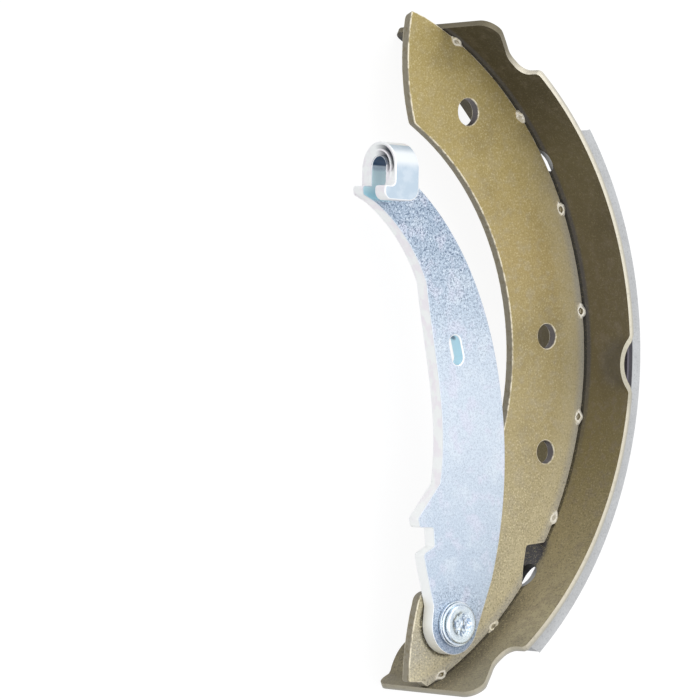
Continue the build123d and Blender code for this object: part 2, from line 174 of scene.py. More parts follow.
@dataclass
class Shader:
    """A new material's node tree with the pieces that every finish starts from."""

    name: str

    def __post_init__(self) -> None:
        """Make the empty material and its object coordinates."""
        self.material = bpy.data.materials.new(self.name)
        self.material.use_nodes = True
        self.tree = self.material.node_tree
        self.tree.nodes.clear()
        self.place = add_node(self.tree, "ShaderNodeTexCoord").outputs["Object"]

    def noise(
        self, size: float, detail: float = 2.0, rough: float = 0.5, warp: float = 0.0
    ) -> bpy.types.NodeSocket:
        """Noise from 0 to 1 with grains about this many millimetres wide.

        Args:
            size: Width of a grain in millimetres.
            detail: Octaves of finer noise.
            rough: How strong the finer octaves are.
            warp: Distortion of the grains.

        Returns:
            The noise node's factor.
        """
        inputs = {
            "Vector": self.place, "Scale": per_metre(size), "Detail": detail, "Roughness": rough, "Distortion": warp
        }
        return add_node(self.tree, "ShaderNodeTexNoise", {"normalize": True}, inputs).outputs["Fac"]

    def remap(
        self, value: Any, low: float, high: float, to_low: float = 0.0, to_high: float = 1.0, smooth: bool = True
    ) -> bpy.types.NodeSocket:
        """Stretch a value from one range to another, clamped.

        Args:
            value: Socket to remap.
            low: Value that becomes to_low.
            high: Value that becomes to_high.
            to_low: New value at low.
            to_high: New value at high.
            smooth: Whether the ends are eased.

        Returns:
            The remapped value.
        """
        settings = {"interpolation_type": "SMOOTHSTEP" if smooth else "LINEAR"}
        inputs = {"Value": value, "From Min": low, "From Max": high, "To Min": to_low, "To Max": to_high}
        return add_node(self.tree, "ShaderNodeMapRange", settings, inputs).outputs["Result"]

    def mottle(self, pattern: Mottle) -> bpy.types.NodeSocket:
        """Mask of one cloudy pattern."""
        value = self.noise(pattern.size, pattern.detail, pattern.rough, pattern.warp)
        return self.remap(value, pattern.start, pattern.end, pattern.low, pattern.high)

    def mix(self, factor: Any, first: Any, second: Any) -> bpy.types.NodeSocket:
        """Mix two colours.

        Args:
            factor: Share of the second colour.
            first: First colour, as a socket or a linear colour.
            second: Second colour, as a socket or a linear colour.

        Returns:
            The mixed colour.
        """
        node = add_node(self.tree, "ShaderNodeMix", {"data_type": "RGBA"}, {0: factor, 6: first, 7: second})
        return node.outputs[2]

    def math(self, operation: str, first: Any, second: Any = 0.0) -> bpy.types.NodeSocket:
        """Result of one arithmetic operation, clamped to no range."""
        return add_node(self.tree, "ShaderNodeMath", {"operation": operation}, {0: first, 1: second}).outputs[0]

    def axis(self, letter: str) -> bpy.types.NodeSocket:
        """One coordinate of the object's own frame, in metres."""
        return add_node(self.tree, "ShaderNodeSeparateXYZ", None, {"Vector": self.place}).outputs[letter]

    def between(
        self, letter: str, low: float, high: float, to_low: float = 0.0, to_high: float = 1.0
    ) -> bpy.types.NodeSocket:
        """Value that eases from one number to another between two places on an axis.

        Args:
            letter: The axis.
            low: Place in millimetres at which the value is to_low.
            high: Place in millimetres at which the value is to_high.
            to_low: Value at low.
            to_high: Value at high.

        Returns:
            The value.
        """
        return self.remap(self.axis(letter), low * MM, high * MM, to_low, to_high)

    def distance(self, centre: Place, weights: Place) -> bpy.types.NodeSocket:
        """Distance in metres from a point, or from the line or plane that zero weights make of it.

        Args:
            centre: Point in millimetres.
            weights: One along each axis that counts and zero along the others.

        Returns:
            The distance.
        """
        metres = tuple(value * MM for value in centre)
        apart = self.vector("SUBTRACT", {0: self.place, 1: metres})
        counted = self.vector("MULTIPLY", {0: apart.outputs[0], 1: weights})
        return self.vector("LENGTH", {0: counted.outputs[0]}).outputs["Value"]

    def vector(self, operation: str, inputs: dict[int, Any]) -> bpy.types.Node:
        """Node of one vector operation."""
        return add_node(self.tree, "ShaderNodeVectorMath", {"operation": operation}, inputs)

    def near(self, centre: Place, weights: Place, none: float, full: float) -> bpy.types.NodeSocket:
        """Mask that is zero at one distance in millimetres from a point, line or plane and one at another.

        Args:
            centre: Point in millimetres.
            weights: One along each axis that counts and zero along the others.
            none: Distance at which the mask is zero.
            full: Distance at which the mask is one.

        Returns:
            The mask.
        """
        return self.remap(self.distance(centre, weights), none * MM, full * MM)

    def both(self, first: Any, second: Any) -> bpy.types.NodeSocket:
        """Product of two masks."""
        return self.math("MULTIPLY", first, second)

    def either(self, first: Any, second: Any) -> bpy.types.NodeSocket:
        """Larger of two masks."""
        return self.math("MAXIMUM", first, second)

    def opposite(self, mask: Any) -> bpy.types.NodeSocket:
        """One less a mask."""
        return self.math("SUBTRACT", 1.0, mask)

    def ramp(self, value: Any, stops: Stops) -> bpy.types.NodeSocket:
        """Colour that runs through these stops as the value goes from 0 to 1."""
        node = add_node(self.tree, "ShaderNodeValToRGB", None, {"Fac": value})
        elements = node.color_ramp.elements
        while len(elements) < len(stops):
            elements.new(0.5)
        for element, (place, code) in zip(elements, stops):
            element.position = place
            element.color = colour(code)
        return node.outputs["Color"]

    def layer(self, name: str) -> bpy.types.NodeSocket:
        """Value of a layer that the shape itself carries, such as its broken edges."""
        return add_node(self.tree, "ShaderNodeAttribute", {"attribute_name": name}).outputs["Fac"]

    def finish(self, values: dict[str, Any], height: bpy.types.NodeSocket, depth: float) -> bpy.types.Material:
        """Close the tree with a bump and the surface shader.

        Args:
            values: Inputs of the surface shader.
            height: Height of the relief, from 0 to 1.
            depth: Depth of the relief in millimetres.

        Returns:
            The finished material.
        """
        relief = {"Height": height, "Distance": depth * MM, "Strength": 1.0}
        bump = add_node(self.tree, "ShaderNodeBump", None, relief)
        looks = {**values, "Normal": bump.outputs["Normal"]}
        surface = add_node(self.tree, "ShaderNodeBsdfPrincipled", None, looks)
        add_node(self.tree, "ShaderNodeOutputMaterial", None, {"Surface": surface.outputs["BSDF"]})
        return self.material


# ---- finishes -----------------------------------------------------------------------------


@dataclass(frozen=True)
class Band:
    """Strip of another tone beside a point, line or plane of the part, in millimetres.

    The strip is laid between the distances none and full. It may fade along Y between two places, stop
    outside a radius, and keep to a reach either side of a place on Y.
    """

    centre: Place
    weights: Place
    none: float
    full: float
    tone: str
    share: float
    fade: Flat | None = None
    within: float | None = None
    within_blur: float = 0.3
    beside: Flat | None = None
    beside_blur: float = 3.0

    def lay(self, shader: Shader, tone: Any) -> bpy.types.NodeSocket:
        """Mix this strip into a tone.

        Args:
            shader: Material that the strip belongs to.
            tone: Colour under the strip.

        Returns:
            The colour with the strip.
        """
        mask = shader.both(shader.near(self.centre, self.weights, self.none, self.full), self.share)
        if self.fade:
            none, full = self.fade
            mask = shader.both(mask, shader.remap(shader.axis("Y"), none * MM, full * MM))
        if self.within:
            inside = shader.near(ORIGIN, FROM_Z_AXIS, self.within + self.within_blur, self.within)
            mask = shader.both(mask, inside)
        if self.beside:
            middle, reach = self.beside
            close = shader.near((0.0, middle, 0.0), ALONG_Y, reach + self.beside_blur, reach)
            mask = shader.both(mask, close)
        return shader.mix(mask, tone, colour(self.tone))


@dataclass(frozen=True)
class FlakeCoat:
    """Zinc-flake lacquer, dipped and baked: a matt olive gold of tiny flakes, grey on cut steel, with a painted
    highlight on its broken edges.
    """

    name: str
    along: Stops
    grey: str
    shade: str
    flake: str
    cut: Stops
    # edge is the tone of the painted highlight on the broken edges.
    edge: str
    bare: str
    tearing: float
    contrast: float
    sanded: float
    metallic: float
    roughness: float
    # Tone of the painted shadow on the walls of the windows, if the coat has one.
    window_shadow: str | None = None
    bands: tuple[Band, ...] = ()
    cut_bands: tuple[Band, ...] = ()
    end: float = 90.0
    clouds: Mottle = Mottle(16.0, 0.5, 0.75, high=0.3)
    torn: Mottle = Mottle(1.2, 0.5, 0.66, rough=0.6)
    # Mottle that breaks up the painted highlight on the broken edges.
    edge_highlight_breakup: Mottle = Mottle(1.6, 0.38, 0.58, low=0.15, high=0.95)
    speckle: Mottle = Mottle(0.9, 0.36, 0.56, low=0.5, rough=0.6)
    patch_size: float = 2.6
    patch_span: Flat = (0.45, 0.68)
    thinning: tuple[float, ...] = (0.1, 0.5, 0.2, 0.45)
    sanding_span: Flat = (0.55, 0.8)
    lit_span: Flat = (0.52, 0.70)
    unlit_span: Flat = (0.48, 0.30)
    unlit_share: float = 0.7
    relief: float = 0.03
    roughness_swing: float = 0.08

    def build(self) -> bpy.types.Material:
        """Make the material."""
        shader = Shader(self.name)
        along = shader.remap(shader.axis("Y"), self.end * MM, -self.end * MM, smooth=False)
        patches = shader.noise(self.patch_size, detail=3.0, rough=0.6)
        # Real flakes are some 0.02 mm wide: drawn 0.5 mm wide, so that their glitter still shows.
        grain = shader.noise(GRAIN_SIZE, rough=0.7)
        tone = self.flat_face(shader, along, patches, grain)
        tone = shader.mix(shader.layer(CUT_LAYER), tone, self.cut_face(shader, along))
        # Painted highlight: the broken edges take the edge tone, broken up by a mottle.
        edge_highlight = shader.both(shader.layer(EDGE_LAYER), shader.mottle(self.edge_highlight_breakup))
        tone = shader.mix(edge_highlight, tone, colour(self.edge))
        splashed = shader.both(shader.layer(SPLASH_LAYER), shader.mottle(self.speckle))
        tone = shader.mix(splashed, tone, colour(self.bare))
        # Painted shade in the weld slits.
        tone = shader.mix(shader.layer(DARK_GROOVE_LAYER), tone, colour(self.shade))
        # Painted shadow on the walls of the windows.
        if self.window_shadow:
            tone = shader.mix(shader.layer(SHADED_WALL_LAYER), tone, colour(self.window_shadow))
        low, high = self.roughness - self.roughness_swing, self.roughness + self.roughness_swing
        rough = shader.remap(grain, *GRAIN_SPAN, low, high)
        values = {"Base Color": tone, "Metallic": self.metallic, "Roughness": rough}
        return shader.finish(values, shader.math("ADD", grain, patches), self.relief)

    def flat_face(self, shader: Shader, along: Any, patches: Any, grain: Any) -> bpy.types.NodeSocket:
        """Tone of the coated faces.

        Args:
            shader: Material that it belongs to.
            along: Place along the shoe, from 0 at the piston end to 1 at the anchor end.
            patches: Noise of the thin patches.
            grain: Noise of the flakes.

        Returns:
            The tone, with its patches, clouds, bands and flakes.
        """
        thin = shader.both(shader.remap(patches, *self.patch_span), shader.remap(along, *self.thinning))
        tone = shader.mix(thin, shader.ramp(along, self.along), colour(self.grey))
        tone = shader.mix(shader.mottle(self.clouds), tone, colour(self.shade))
        for band in self.bands:
            tone = band.lay(shader, tone)
        strength = shader.remap(along, *self.sanding_span, self.contrast, self.sanded)
        lit = shader.both(shader.remap(grain, *self.lit_span), strength)
        unlit = shader.both(shader.remap(grain, *self.unlit_span), shader.both(strength, self.unlit_share))
        return shader.mix(unlit, shader.mix(lit, tone, colour(self.flake)), colour(self.shade))

    def cut_face(self, shader: Shader, along: Any) -> bpy.types.NodeSocket:
        """Tone of the faces that the press cut, mottled where the steel tore.

        Args:
            shader: Material that it belongs to.
            along: Place along the shoe, from 0 at the piston end to 1 at the anchor end.

        Returns:
            The tone, with its bands.
        """
        torn = shader.both(shader.mottle(self.torn), self.tearing)
        tone = shader.mix(torn, shader.ramp(along, self.cut), colour(self.shade))
        for band in self.cut_bands:
            tone = band.lay(shader, tone)
        return tone


@dataclass(frozen=True)
class PressedFriction:
    """Friction compound, hot pressed and ground: pale grey resin with dark and light crumbs."""

    name: str
    body: str
    dark: str
    light: str
    # Tone of the painted shadow on the walls of the windows.
    window_wall_shadow: str
    bands: tuple[Band, ...] = ()
    patches: Mottle = Mottle(6.0, 0.35, 0.7, high=0.4)
    light_crumbs: Flat = (0.52, 0.74)
    dark_crumbs: Flat = (0.48, 0.26)
    crumb_share: float = 0.6
    roughness: Flat = (0.72, 0.92)
    relief: float = 0.05

    def build(self) -> bpy.types.Material:
        """Make the material."""
        shader = Shader(self.name)
        # The compound's crumbs are 0.1 to 0.5 mm wide: drawn 0.5 mm wide.
        crumbs = shader.noise(GRAIN_SIZE, detail=3.0, rough=0.65)
        tone = shader.mix(shader.mottle(self.patches), colour(self.body), colour(self.light))
        for span, shade in ((self.light_crumbs, self.light), (self.dark_crumbs, self.dark)):
            tone = shader.mix(shader.remap(crumbs, *span, 0.0, self.crumb_share), tone, colour(shade))
        for band in self.bands:
            tone = band.lay(shader, tone)
        # Painted shadow on the walls of the windows.
        tone = shader.mix(shader.layer(SHADED_WALL_LAYER), tone, colour(self.window_wall_shadow))
        rough = shader.remap(crumbs, *GRAIN_SPAN, *self.roughness)
        return shader.finish({"Base Color": tone, "Metallic": 0.0, "Roughness": rough}, crumbs, self.relief)


@dataclass(frozen=True)
class SpangledZinc:
    """Blue-passivated zinc on pressed steel: spangled pale blue, smooth on the bend, near white where cut.

    Places are in millimetres: the middle of the pivot and of the slot, a point on the axis that the end is
    folded about, and the height on Y of the flap's lip. A pair named share, metallic or roughness holds the
    values at the two ends of a range. Every other pair says where a mask begins and where it is full.
    """

    name: str
    along: Stops
    light: str
    lilac: str
    dark: str
    # Tone of the painted shade round the washers.
    ring: str
    cut: str
    blush: str
    # Tones of the painted highlight on the broken edges: bright, and dimmer on the plate's plain edges.
    edge: str
    dim_edge_highlight: str
    hook: str
    # Tone of the painted highlight on the bend.
    bend_highlight: str
    # Teal tones of the channel under the flap, lighter upwards: painted reflection of the flap's underside, and painted
    # light in the flap's shade.
    channel: Stops
    # Tone of the painted shade in the slot and inside the bend.
    recess_shade: str
    slot_wall: str
    # Tone of the torn grooves: partly the darker torn steel, partly painted dark reflection.
    tear: str
    pivot: Place
    slot: Place
    hook_axis: Place
    lip: float
    length: Flat = (40.0, -80.0)
    clouds: Mottle = Mottle(8.0, 0.5, 0.7, high=0.35)
    violet: Mottle = Mottle(5.0, 0.5, 0.68, high=0.5)
    wiped: Mottle = Mottle(3.5, 0.42, 0.66, high=0.35)
    stains: Mottle = Mottle(3.5, 0.42, 0.62, detail=2.0)
    glint_span: Flat = (0.53, 0.64)
    shadow_span: Flat = (0.53, 0.37)
    spangled: Flat = (-12.0, 36.0)
    glint_share: Flat = (0.35, 0.6)
    shadow_share: Flat = (0.25, 0.95)
    pin_round: Flat = (15.0, 8.0)
    pin_share: float = 0.6
    washer_shade_round: Flat = (9.8, 6.8)
    washer_shade_span: Flat = (-64.0, -73.0)
    washer_shade_share: float = 0.6
    folded_level: Flat = (24.2, 24.8)
    folded_span: Flat = (47.0, 48.6)
    channel_side: Flat = (20.5, 18.5)
    reflection_span: Flat = (40.5, 44.5)
    flap_turn: float = 2.4
    highlight_beside: Flat = (3.0, 0.8)
    blush_span: Flat = (-50.0, -30.0)
    wall_round: Flat = (5.6, 5.0)
    slot_shadow: Place = (43.95, 5.55, 21.5)
    slot_shadow_round: Flat = (1.7, 0.9)
    slot_shadow_share: float = 0.8
    bend_round: Flat = (3.1, 2.8)
    bend_span: Flat = (48.4, 48.9)
    slot_highlight_round: Flat = (6.5, 5.5)
    pivot_highlight_round: Flat = (11.0, 9.0)
    metallic: Flat = (0.5, 0.2)
    roughness: Flat = (0.44, 0.34)
    relief: float = 0.02

    def build(self) -> bpy.types.Material:
        """Make the material."""
        shader = Shader(self.name)
        # Plating spangles are about 0.1 mm wide: drawn 0.5 mm wide, so that they show.
        spangle = shader.noise(GRAIN_SIZE, detail=3.0, rough=0.7, warp=1.0)
        folded = shader.either(shader.between("Z", *self.folded_level), shader.between("Y", *self.folded_span))
        covered = shader.both(shader.between("Y", self.lip, self.lip + 1.0), shader.opposite(folded))
        channel = shader.both(covered, shader.between("X", *self.channel_side))
        smooth = shader.either(folded, channel)
        tone = self.plate_face(shader, spangle)
        # Painted reflection and light: the channel under the flap takes teal tones that lighten upwards.
        tone = shader.mix(channel, tone, shader.ramp(shader.between("Y", *self.reflection_span), self.channel))
        tone = self.hook_face(shader, tone, folded)
        tone = self.cut_face(shader, tone)
        # Painted highlight on the broken edges.
        tone = shader.mix(shader.layer(EDGE_LAYER), tone, self.rim(shader, folded))
        # Dark of the torn grooves: partly the darker torn steel, partly painted dark reflection.
        tone = shader.mix(shader.layer(DARK_GROOVE_LAYER), tone, colour(self.tear))
        values = {
            "Base Color": tone,
            "Metallic": shader.remap(smooth, 0.0, 1.0, *self.metallic),
            "Roughness": shader.remap(smooth, 0.0, 1.0, *self.roughness),
        }
        return shader.finish(values, shader.both(spangle, shader.opposite(smooth)), self.relief)

    def plate_face(self, shader: Shader, spangle: Any) -> bpy.types.NodeSocket:
        """Tone of the plate's faces.

        Args:
            shader: Material that it belongs to.
            spangle: Noise of the plating.

        Returns:
            The tone, with clouds, a ring of painted shade round the washers below the pivot, and dark spangles that
            grow stronger round the pin and towards the hook.
        """
        top, bottom = self.length
        tone = shader.ramp(shader.remap(shader.axis("Y"), top * MM, bottom * MM, smooth=False), self.along)
        tone = shader.mix(shader.mottle(self.clouds), tone, colour(self.light))
        tone = shader.mix(shader.mottle(self.violet), tone, colour(self.lilac))
        # Painted shade round the washers, on the side below the pivot.
        below = shader.between("Y", *self.washer_shade_span, 0.0, self.washer_shade_share)
        ring = shader.both(shader.near(self.pivot, FROM_Z_AXIS, *self.washer_shade_round), below)
        tone = shader.mix(ring, tone, colour(self.ring))
        glint = shader.both(
            shader.between("Y", *self.spangled, *self.glint_share), shader.remap(spangle, *self.glint_span)
        )
        tone = shader.mix(glint, tone, colour(self.light))
        # Dark spangles grow stronger round the pin and towards the hook: partly the plating's spangle, partly painted
        # dark reflection round the pin and painted shade under the flap.
        round_pin = shader.both(shader.near(self.pivot, FROM_Z_AXIS, *self.pin_round), self.pin_share)
        strength = shader.either(shader.between("Y", *self.spangled, *self.shadow_share), round_pin)
        shadow = shader.both(strength, shader.remap(spangle, *self.shadow_span))
        return shader.mix(shadow, tone, colour(self.dark))

    def hook_face(self, shader: Shader, tone: Any, folded: Any) -> bpy.types.NodeSocket:
        """Lay the smoother tone of the folded end over the plate's tone.

        Args:
            shader: Material that it belongs to.
            tone: Tone of the plate.
            folded: Mask of the folded end.

        Returns:
            The tone, with a painted highlight strip where the bend turns into the flap.
        """
        wiped = shader.mix(shader.mottle(self.wiped), colour(self.hook), colour(self.light))
        tone = shader.mix(folded, tone, wiped)
        # Painted highlight: a near white strip where the bend turns into the flap.
        turn = (0.0, self.hook_axis[1] + self.flap_turn, 0.0)
        strip = shader.both(folded, shader.near(turn, ALONG_Y, *self.highlight_beside))
        return shader.mix(strip, tone, colour(self.bend_highlight))

    def cut_face(self, shader: Shader, tone: Any) -> bpy.types.NodeSocket:
        """Lay the tones of the sheared edge, the slot's wall with a painted shadow at its top, and the painted shade
        inside the bend.

        Args:
            shader: Material that it belongs to.
            tone: Tone of the faces.

        Returns:
            The tone with the cut faces.
        """
        sheared = shader.layer(CUT_LAYER)
        blush = shader.both(shader.mottle(self.stains), shader.between("Y", *self.blush_span))
        tone = shader.mix(sheared, tone, shader.mix(blush, colour(self.cut), colour(self.blush)))
        # Painted shadow at the top of the slot's wall.
        shadow = shader.both(shader.near(self.slot_shadow, ALL_AXES, *self.slot_shadow_round), self.slot_shadow_share)
        wall = shader.mix(shadow, colour(self.slot_wall), colour(self.recess_shade))
        in_slot = shader.both(sheared, shader.near(self.slot, FROM_Z_AXIS, *self.wall_round))
        tone = shader.mix(in_slot, tone, wall)
        # Painted shade on the inside of the bend.
        round_axis = shader.near(self.hook_axis, FROM_X_AXIS, *self.bend_round)
        inside = shader.both(round_axis, shader.between("Y", *self.bend_span))
        return shader.mix(inside, tone, colour(self.recess_shade))

    def rim(self, shader: Shader, folded: Any) -> bpy.types.NodeSocket:
        """Tone of the painted highlight on the broken edges: brightest on the folded end, round the slot and round the
        pivot.

        Args:
            shader: Material that it belongs to.
            folded: Mask of the folded end.

        Returns:
            The tone.
        """
        round_slot = shader.near(self.slot, FROM_Z_AXIS, *self.slot_highlight_round)
        round_pivot = shader.near(self.pivot, FROM_Z_AXIS, *self.pivot_highlight_round)
        tone = colour(self.dim_edge_highlight)
        for mask in (folded, round_slot, round_pivot):
            tone = shader.mix(mask, tone, colour(self.edge))
        return tone


@dataclass(frozen=True)
class BrightZinc:
    """Blue-passivated zinc on turned and peened steel: near white, blue grey where the punch struck."""

    name: str
    body: str
    light: str
    tint: str
    dark: str
    # edge is the tone of the painted highlight on the washers' broken edges.
    edge: str
    struck: Place
    struck_round: Flat
    tinted: Mottle = Mottle(4.0, 0.4, 0.6, detail=2.0)
    blotches: Mottle = Mottle(1.5, 0.52, 0.40, high=0.9, rough=0.6, warp=1.2)
    light_crystals: tuple[float, ...] = (0.5, 0.7, 0.0, 0.5)
    dark_crystals: tuple[float, ...] = (0.46, 0.3, 0.0, 0.3)
    metallic: float = 0.8
    roughness: Flat = (0.2, 0.34)
    relief: float = 0.012

    def build(self) -> bpy.types.Material:
        """Make the material."""
        shader = Shader(self.name)
        # Plating crystals are about 0.1 mm wide: drawn 0.5 mm wide, so that they show.
        crystals = shader.noise(GRAIN_SIZE, rough=0.7)
        tone = shader.mix(shader.mottle(self.tinted), colour(self.body), colour(self.tint))
        tone = shader.mix(shader.remap(crystals, *self.light_crystals), tone, colour(self.light))
        tone = shader.mix(shader.remap(crystals, *self.dark_crystals), tone, colour(self.dark))
        crater = shader.near(self.struck, FROM_Z_AXIS, *self.struck_round)
        tone = shader.mix(shader.both(crater, shader.mottle(self.blotches)), tone, colour(self.dark))
        # Painted highlight on the washers' broken edges.
        tone = shader.mix(shader.layer(EDGE_LAYER), tone, colour(self.edge))
        rough = shader.remap(crystals, *GRAIN_SPAN, *self.roughness)
        values = {"Base Color": tone, "Metallic": self.metallic, "Roughness": rough}
        return shader.finish(values, crystals, self.relief)


# ---- pieces -------------------------------------------------------------------------------


def add_object(name: str, data: bpy.types.ID) -> bpy.types.Object:
    """Put an object with this mesh, lamp or camera in the scene."""
    item = bpy.data.objects.new(name, data)
    bpy.context.scene.collection.objects.link(item)
    return item


def add_piece(name: str, bm: bmesh.types.BMesh, finish: bpy.types.Material, body: Body) -> bpy.types.Object:
    """Turn a bmesh into a piece of the object.

    Args:
        name: Name of the piece.
        bm: Its shape, in the part's frame. It is freed.
        finish: Its material.
        body: Body that it moves with.

    Returns:
        The new object.
    """
    mesh = bpy.data.meshes.new(name)
    bm.to_mesh(mesh)
    bm.free()
    mesh.materials.append(finish)
    mesh.polygons.foreach_set("use_smooth", [True] * len(mesh.polygons))
    mesh.set_sharp_from_angle(angle=math.radians(CREASE_DEGREES))
    piece = add_object(name, mesh)
    normals = piece.modifiers.new("flat_faces_first", "WEIGHTED_NORMAL")
    normals.keep_sharp = True
    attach(piece, body.value)
    LOG.info("%s: %d faces", name, len(mesh.polygons))
    return piece


def merged_copy(node: str) -> bmesh.types.BMesh:
    """Copy a solid's mesh, with its doubles merged and its flat faces made whole.

    Args:
        node: Name of the part's node.

    Returns:
        The copy.
    """
    bm = bmesh.new()
    bm.from_mesh(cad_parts[node].data)
    bmesh.ops.remove_doubles(bm, verts=bm.verts, dist=MERGED)
    join_flats(bm)
    return bm


def join_flats(bm: bmesh.types.BMesh) -> None:
    """Turn each flat region of a shape into one face."""
    bmesh.ops.dissolve_limit(
        bm, angle_limit=math.radians(FLAT_DEGREES), use_dissolve_boundaries=False, verts=bm.verts,
        edges=bm.edges, delimit=set(),
    )


def cut_away(bm: bmesh.types.BMesh, place: Place, direction: Place, slack: float = MERGED) -> None:
    """Cut a shape at a plane and clear what lies beyond it.

    Args:
        bm: Shape to cut.
        place: Point on the plane, in millimetres.
        direction: The way that is cleared.
        slack: Distance in metres within which a point counts as on the plane.
    """
    whole = [*bm.verts, *bm.edges, *bm.faces]
    bmesh.ops.bisect_plane(
        bm, geom=whole, dist=slack, plane_co=Vector(place) * MM, plane_no=direction, clear_outer=True
    )


def mark_cut_faces(bm: bmesh.types.BMesh) -> None:
    """Mark the faces that the press cut: those that stand upright."""
    layer = bm.faces.layers.float.get(CUT_LAYER) or bm.faces.layers.float.new(CUT_LAYER)
    for face in bm.faces:
        if abs(face.normal.z) < UPRIGHT:
            face[layer] = 1.0


def bevel(
    bm: bmesh.types.BMesh, edges: list[bmesh.types.BMEdge], width: float, segments: int, clamp: bool = True
) -> list[bmesh.types.BMFace]:
    """Round these edges.

    Args:
        bm: Shape to change.
        edges: Edges to round.
        width: Width of the rounding in millimetres.
        segments: Faces across the rounding.
        clamp: Whether the rounding stops short of its neighbours.

    Returns:
        The new faces.
    """
    return bmesh.ops.bevel(
        bm, geom=edges, offset=width * MM, offset_type="OFFSET", affect="EDGES", segments=segments,
        profile=0.5, material=-1, clamp_overlap=clamp,
    )["faces"]


def round_over(bm: bmesh.types.BMesh, edges: list[bmesh.types.BMEdge], width: float, segments: int = 2) -> None:
    """Round these edges and mark the new faces.

    Args:
        bm: Shape to change.
        edges: Edges to round.
        width: Width of the rounding in millimetres.
        segments: Faces across the rounding.
    """
    layer = bm.faces.layers.float.get(EDGE_LAYER)
    for face in bevel(bm, edges, width, segments):
        face[layer] = 1.0


def sharp_edges(bm: bmesh.types.BMesh, least_turn: float = SHARP_DEGREES) -> list[bmesh.types.BMEdge]:
    """Edges at which two faces turn by more than this many degrees."""
    least = math.radians(least_turn)
    return [edge for edge in bm.edges if edge.is_manifold and edge.calc_face_angle() > least]


def break_edges(bm: bmesh.types.BMesh, width: float, least_turn: float = SHARP_DEGREES) -> None:
    """Round every sharp edge a little, and mark the new faces and the cut faces beside them.

    Args:
        bm: Shape to change.
        width: Width of the rounding in millimetres.
        least_turn: Angle in degrees above which an edge counts as sharp.
    """
    if bm.faces.layers.float.get(EDGE_LAYER) is None:
        start_edges(bm)
    round_over(bm, sharp_edges(bm, least_turn), width)


def start_edges(bm: bmesh.types.BMesh) -> None:
    """Give a shape its edge layer and mark its cut faces, before any edge is rounded."""
    bm.faces.layers.float.new(EDGE_LAYER)
    mark_cut_faces(bm)


def lathe(profile: tuple[Flat, ...], centre: Flat, steps: int) -> bmesh.types.BMesh:
    """Turn a profile once round an upright axis.

    Args:
        profile: Radius and height of each point, in millimetres, in order.
        centre: Place of the axis, in millimetres.
        steps: Faces round the axis.

    Returns:
        The turned shape.
    """
    bm = bmesh.new()
    verts = [bm.verts.new(Vector((radius, 0.0, height)) * MM) for radius, height in profile]
    edges = [bm.edges.new(pair) for pair in zip(verts, verts[1:])]
    bmesh.ops.spin(
        bm, geom=[*verts, *edges], cent=(0, 0, 0), axis=(0, 0, 1), angle=2 * math.pi, steps=steps, use_merge=True
    )
    bmesh.ops.remove_doubles(bm, verts=bm.verts, dist=MERGED)
    bmesh.ops.recalc_face_normals(bm, faces=bm.faces)
    bmesh.ops.translate(bm, verts=bm.verts, vec=Vector((*centre, 0.0)) * MM)
    return bm


def rounded_path(corners: tuple[Flat, ...], radii: tuple[float, ...], steps: int) -> list[Vector]:
    """Line through these corners with each inner corner turned into an arc.

    Args:
        corners: Corners of the line.
        radii: Arc radius of each corner but the first and the last.
        steps: Straight runs in each arc.

    Returns:
        Points of the rounded line.
    """
    points = [Vector(corners[0])]
    for before, corner, after, radius in zip(corners, corners[1:], corners[2:], radii):
        corner = Vector(corner)
        inward = (Vector(before) - corner).normalized()
        outward = (Vector(after) - corner).normalized()
        half = inward.angle(outward) / 2
        centre = corner + (inward + outward).normalized() * radius / math.sin(half)
        first = corner + inward * radius / math.tan(half) - centre
        last = corner + outward * radius / math.tan(half) - centre
        turn = first.angle_signed(last)
        for step in range(steps + 1):
            arm = first.copy()
            arm.rotate(Matrix.Rotation(-turn * step / steps, 2))
            points.append(centre + arm)
    points.append(Vector(corners[-1]))
    return points


def point_along(path: list[Vector], share: float) -> Vector:
    """Point at this share of a path's length."""
    lengths = [(b - a).length for a, b in zip(path, path[1:])]
    left = share * sum(lengths)
    for start, end, length in zip(path, path[1:], lengths):
        if left <= length:
            return start.lerp(end, left / length if length else 0.0)
        left -= length
    return path[-1].copy()


def soft_rise(value: float, softness: float) -> float:
    """The value where it is positive and zero elsewhere, with a soft bend between."""
    share = min(max(0.5 + 0.5 * value / softness, 0.0), 1.0)
    return value * share + softness * share * (1.0 - share) / 2


@dataclass(frozen=True)
class Pad:
    """One pad pressed into an edge of the table.

    angle is its place round the drum in degrees. The rest is in millimetres: the height of the edge, the
    depth there, how far it reaches from that edge, and the radius of its bend.
    """

    angle: float
    edge: float
    depth: float
    reach: float
    bend: float


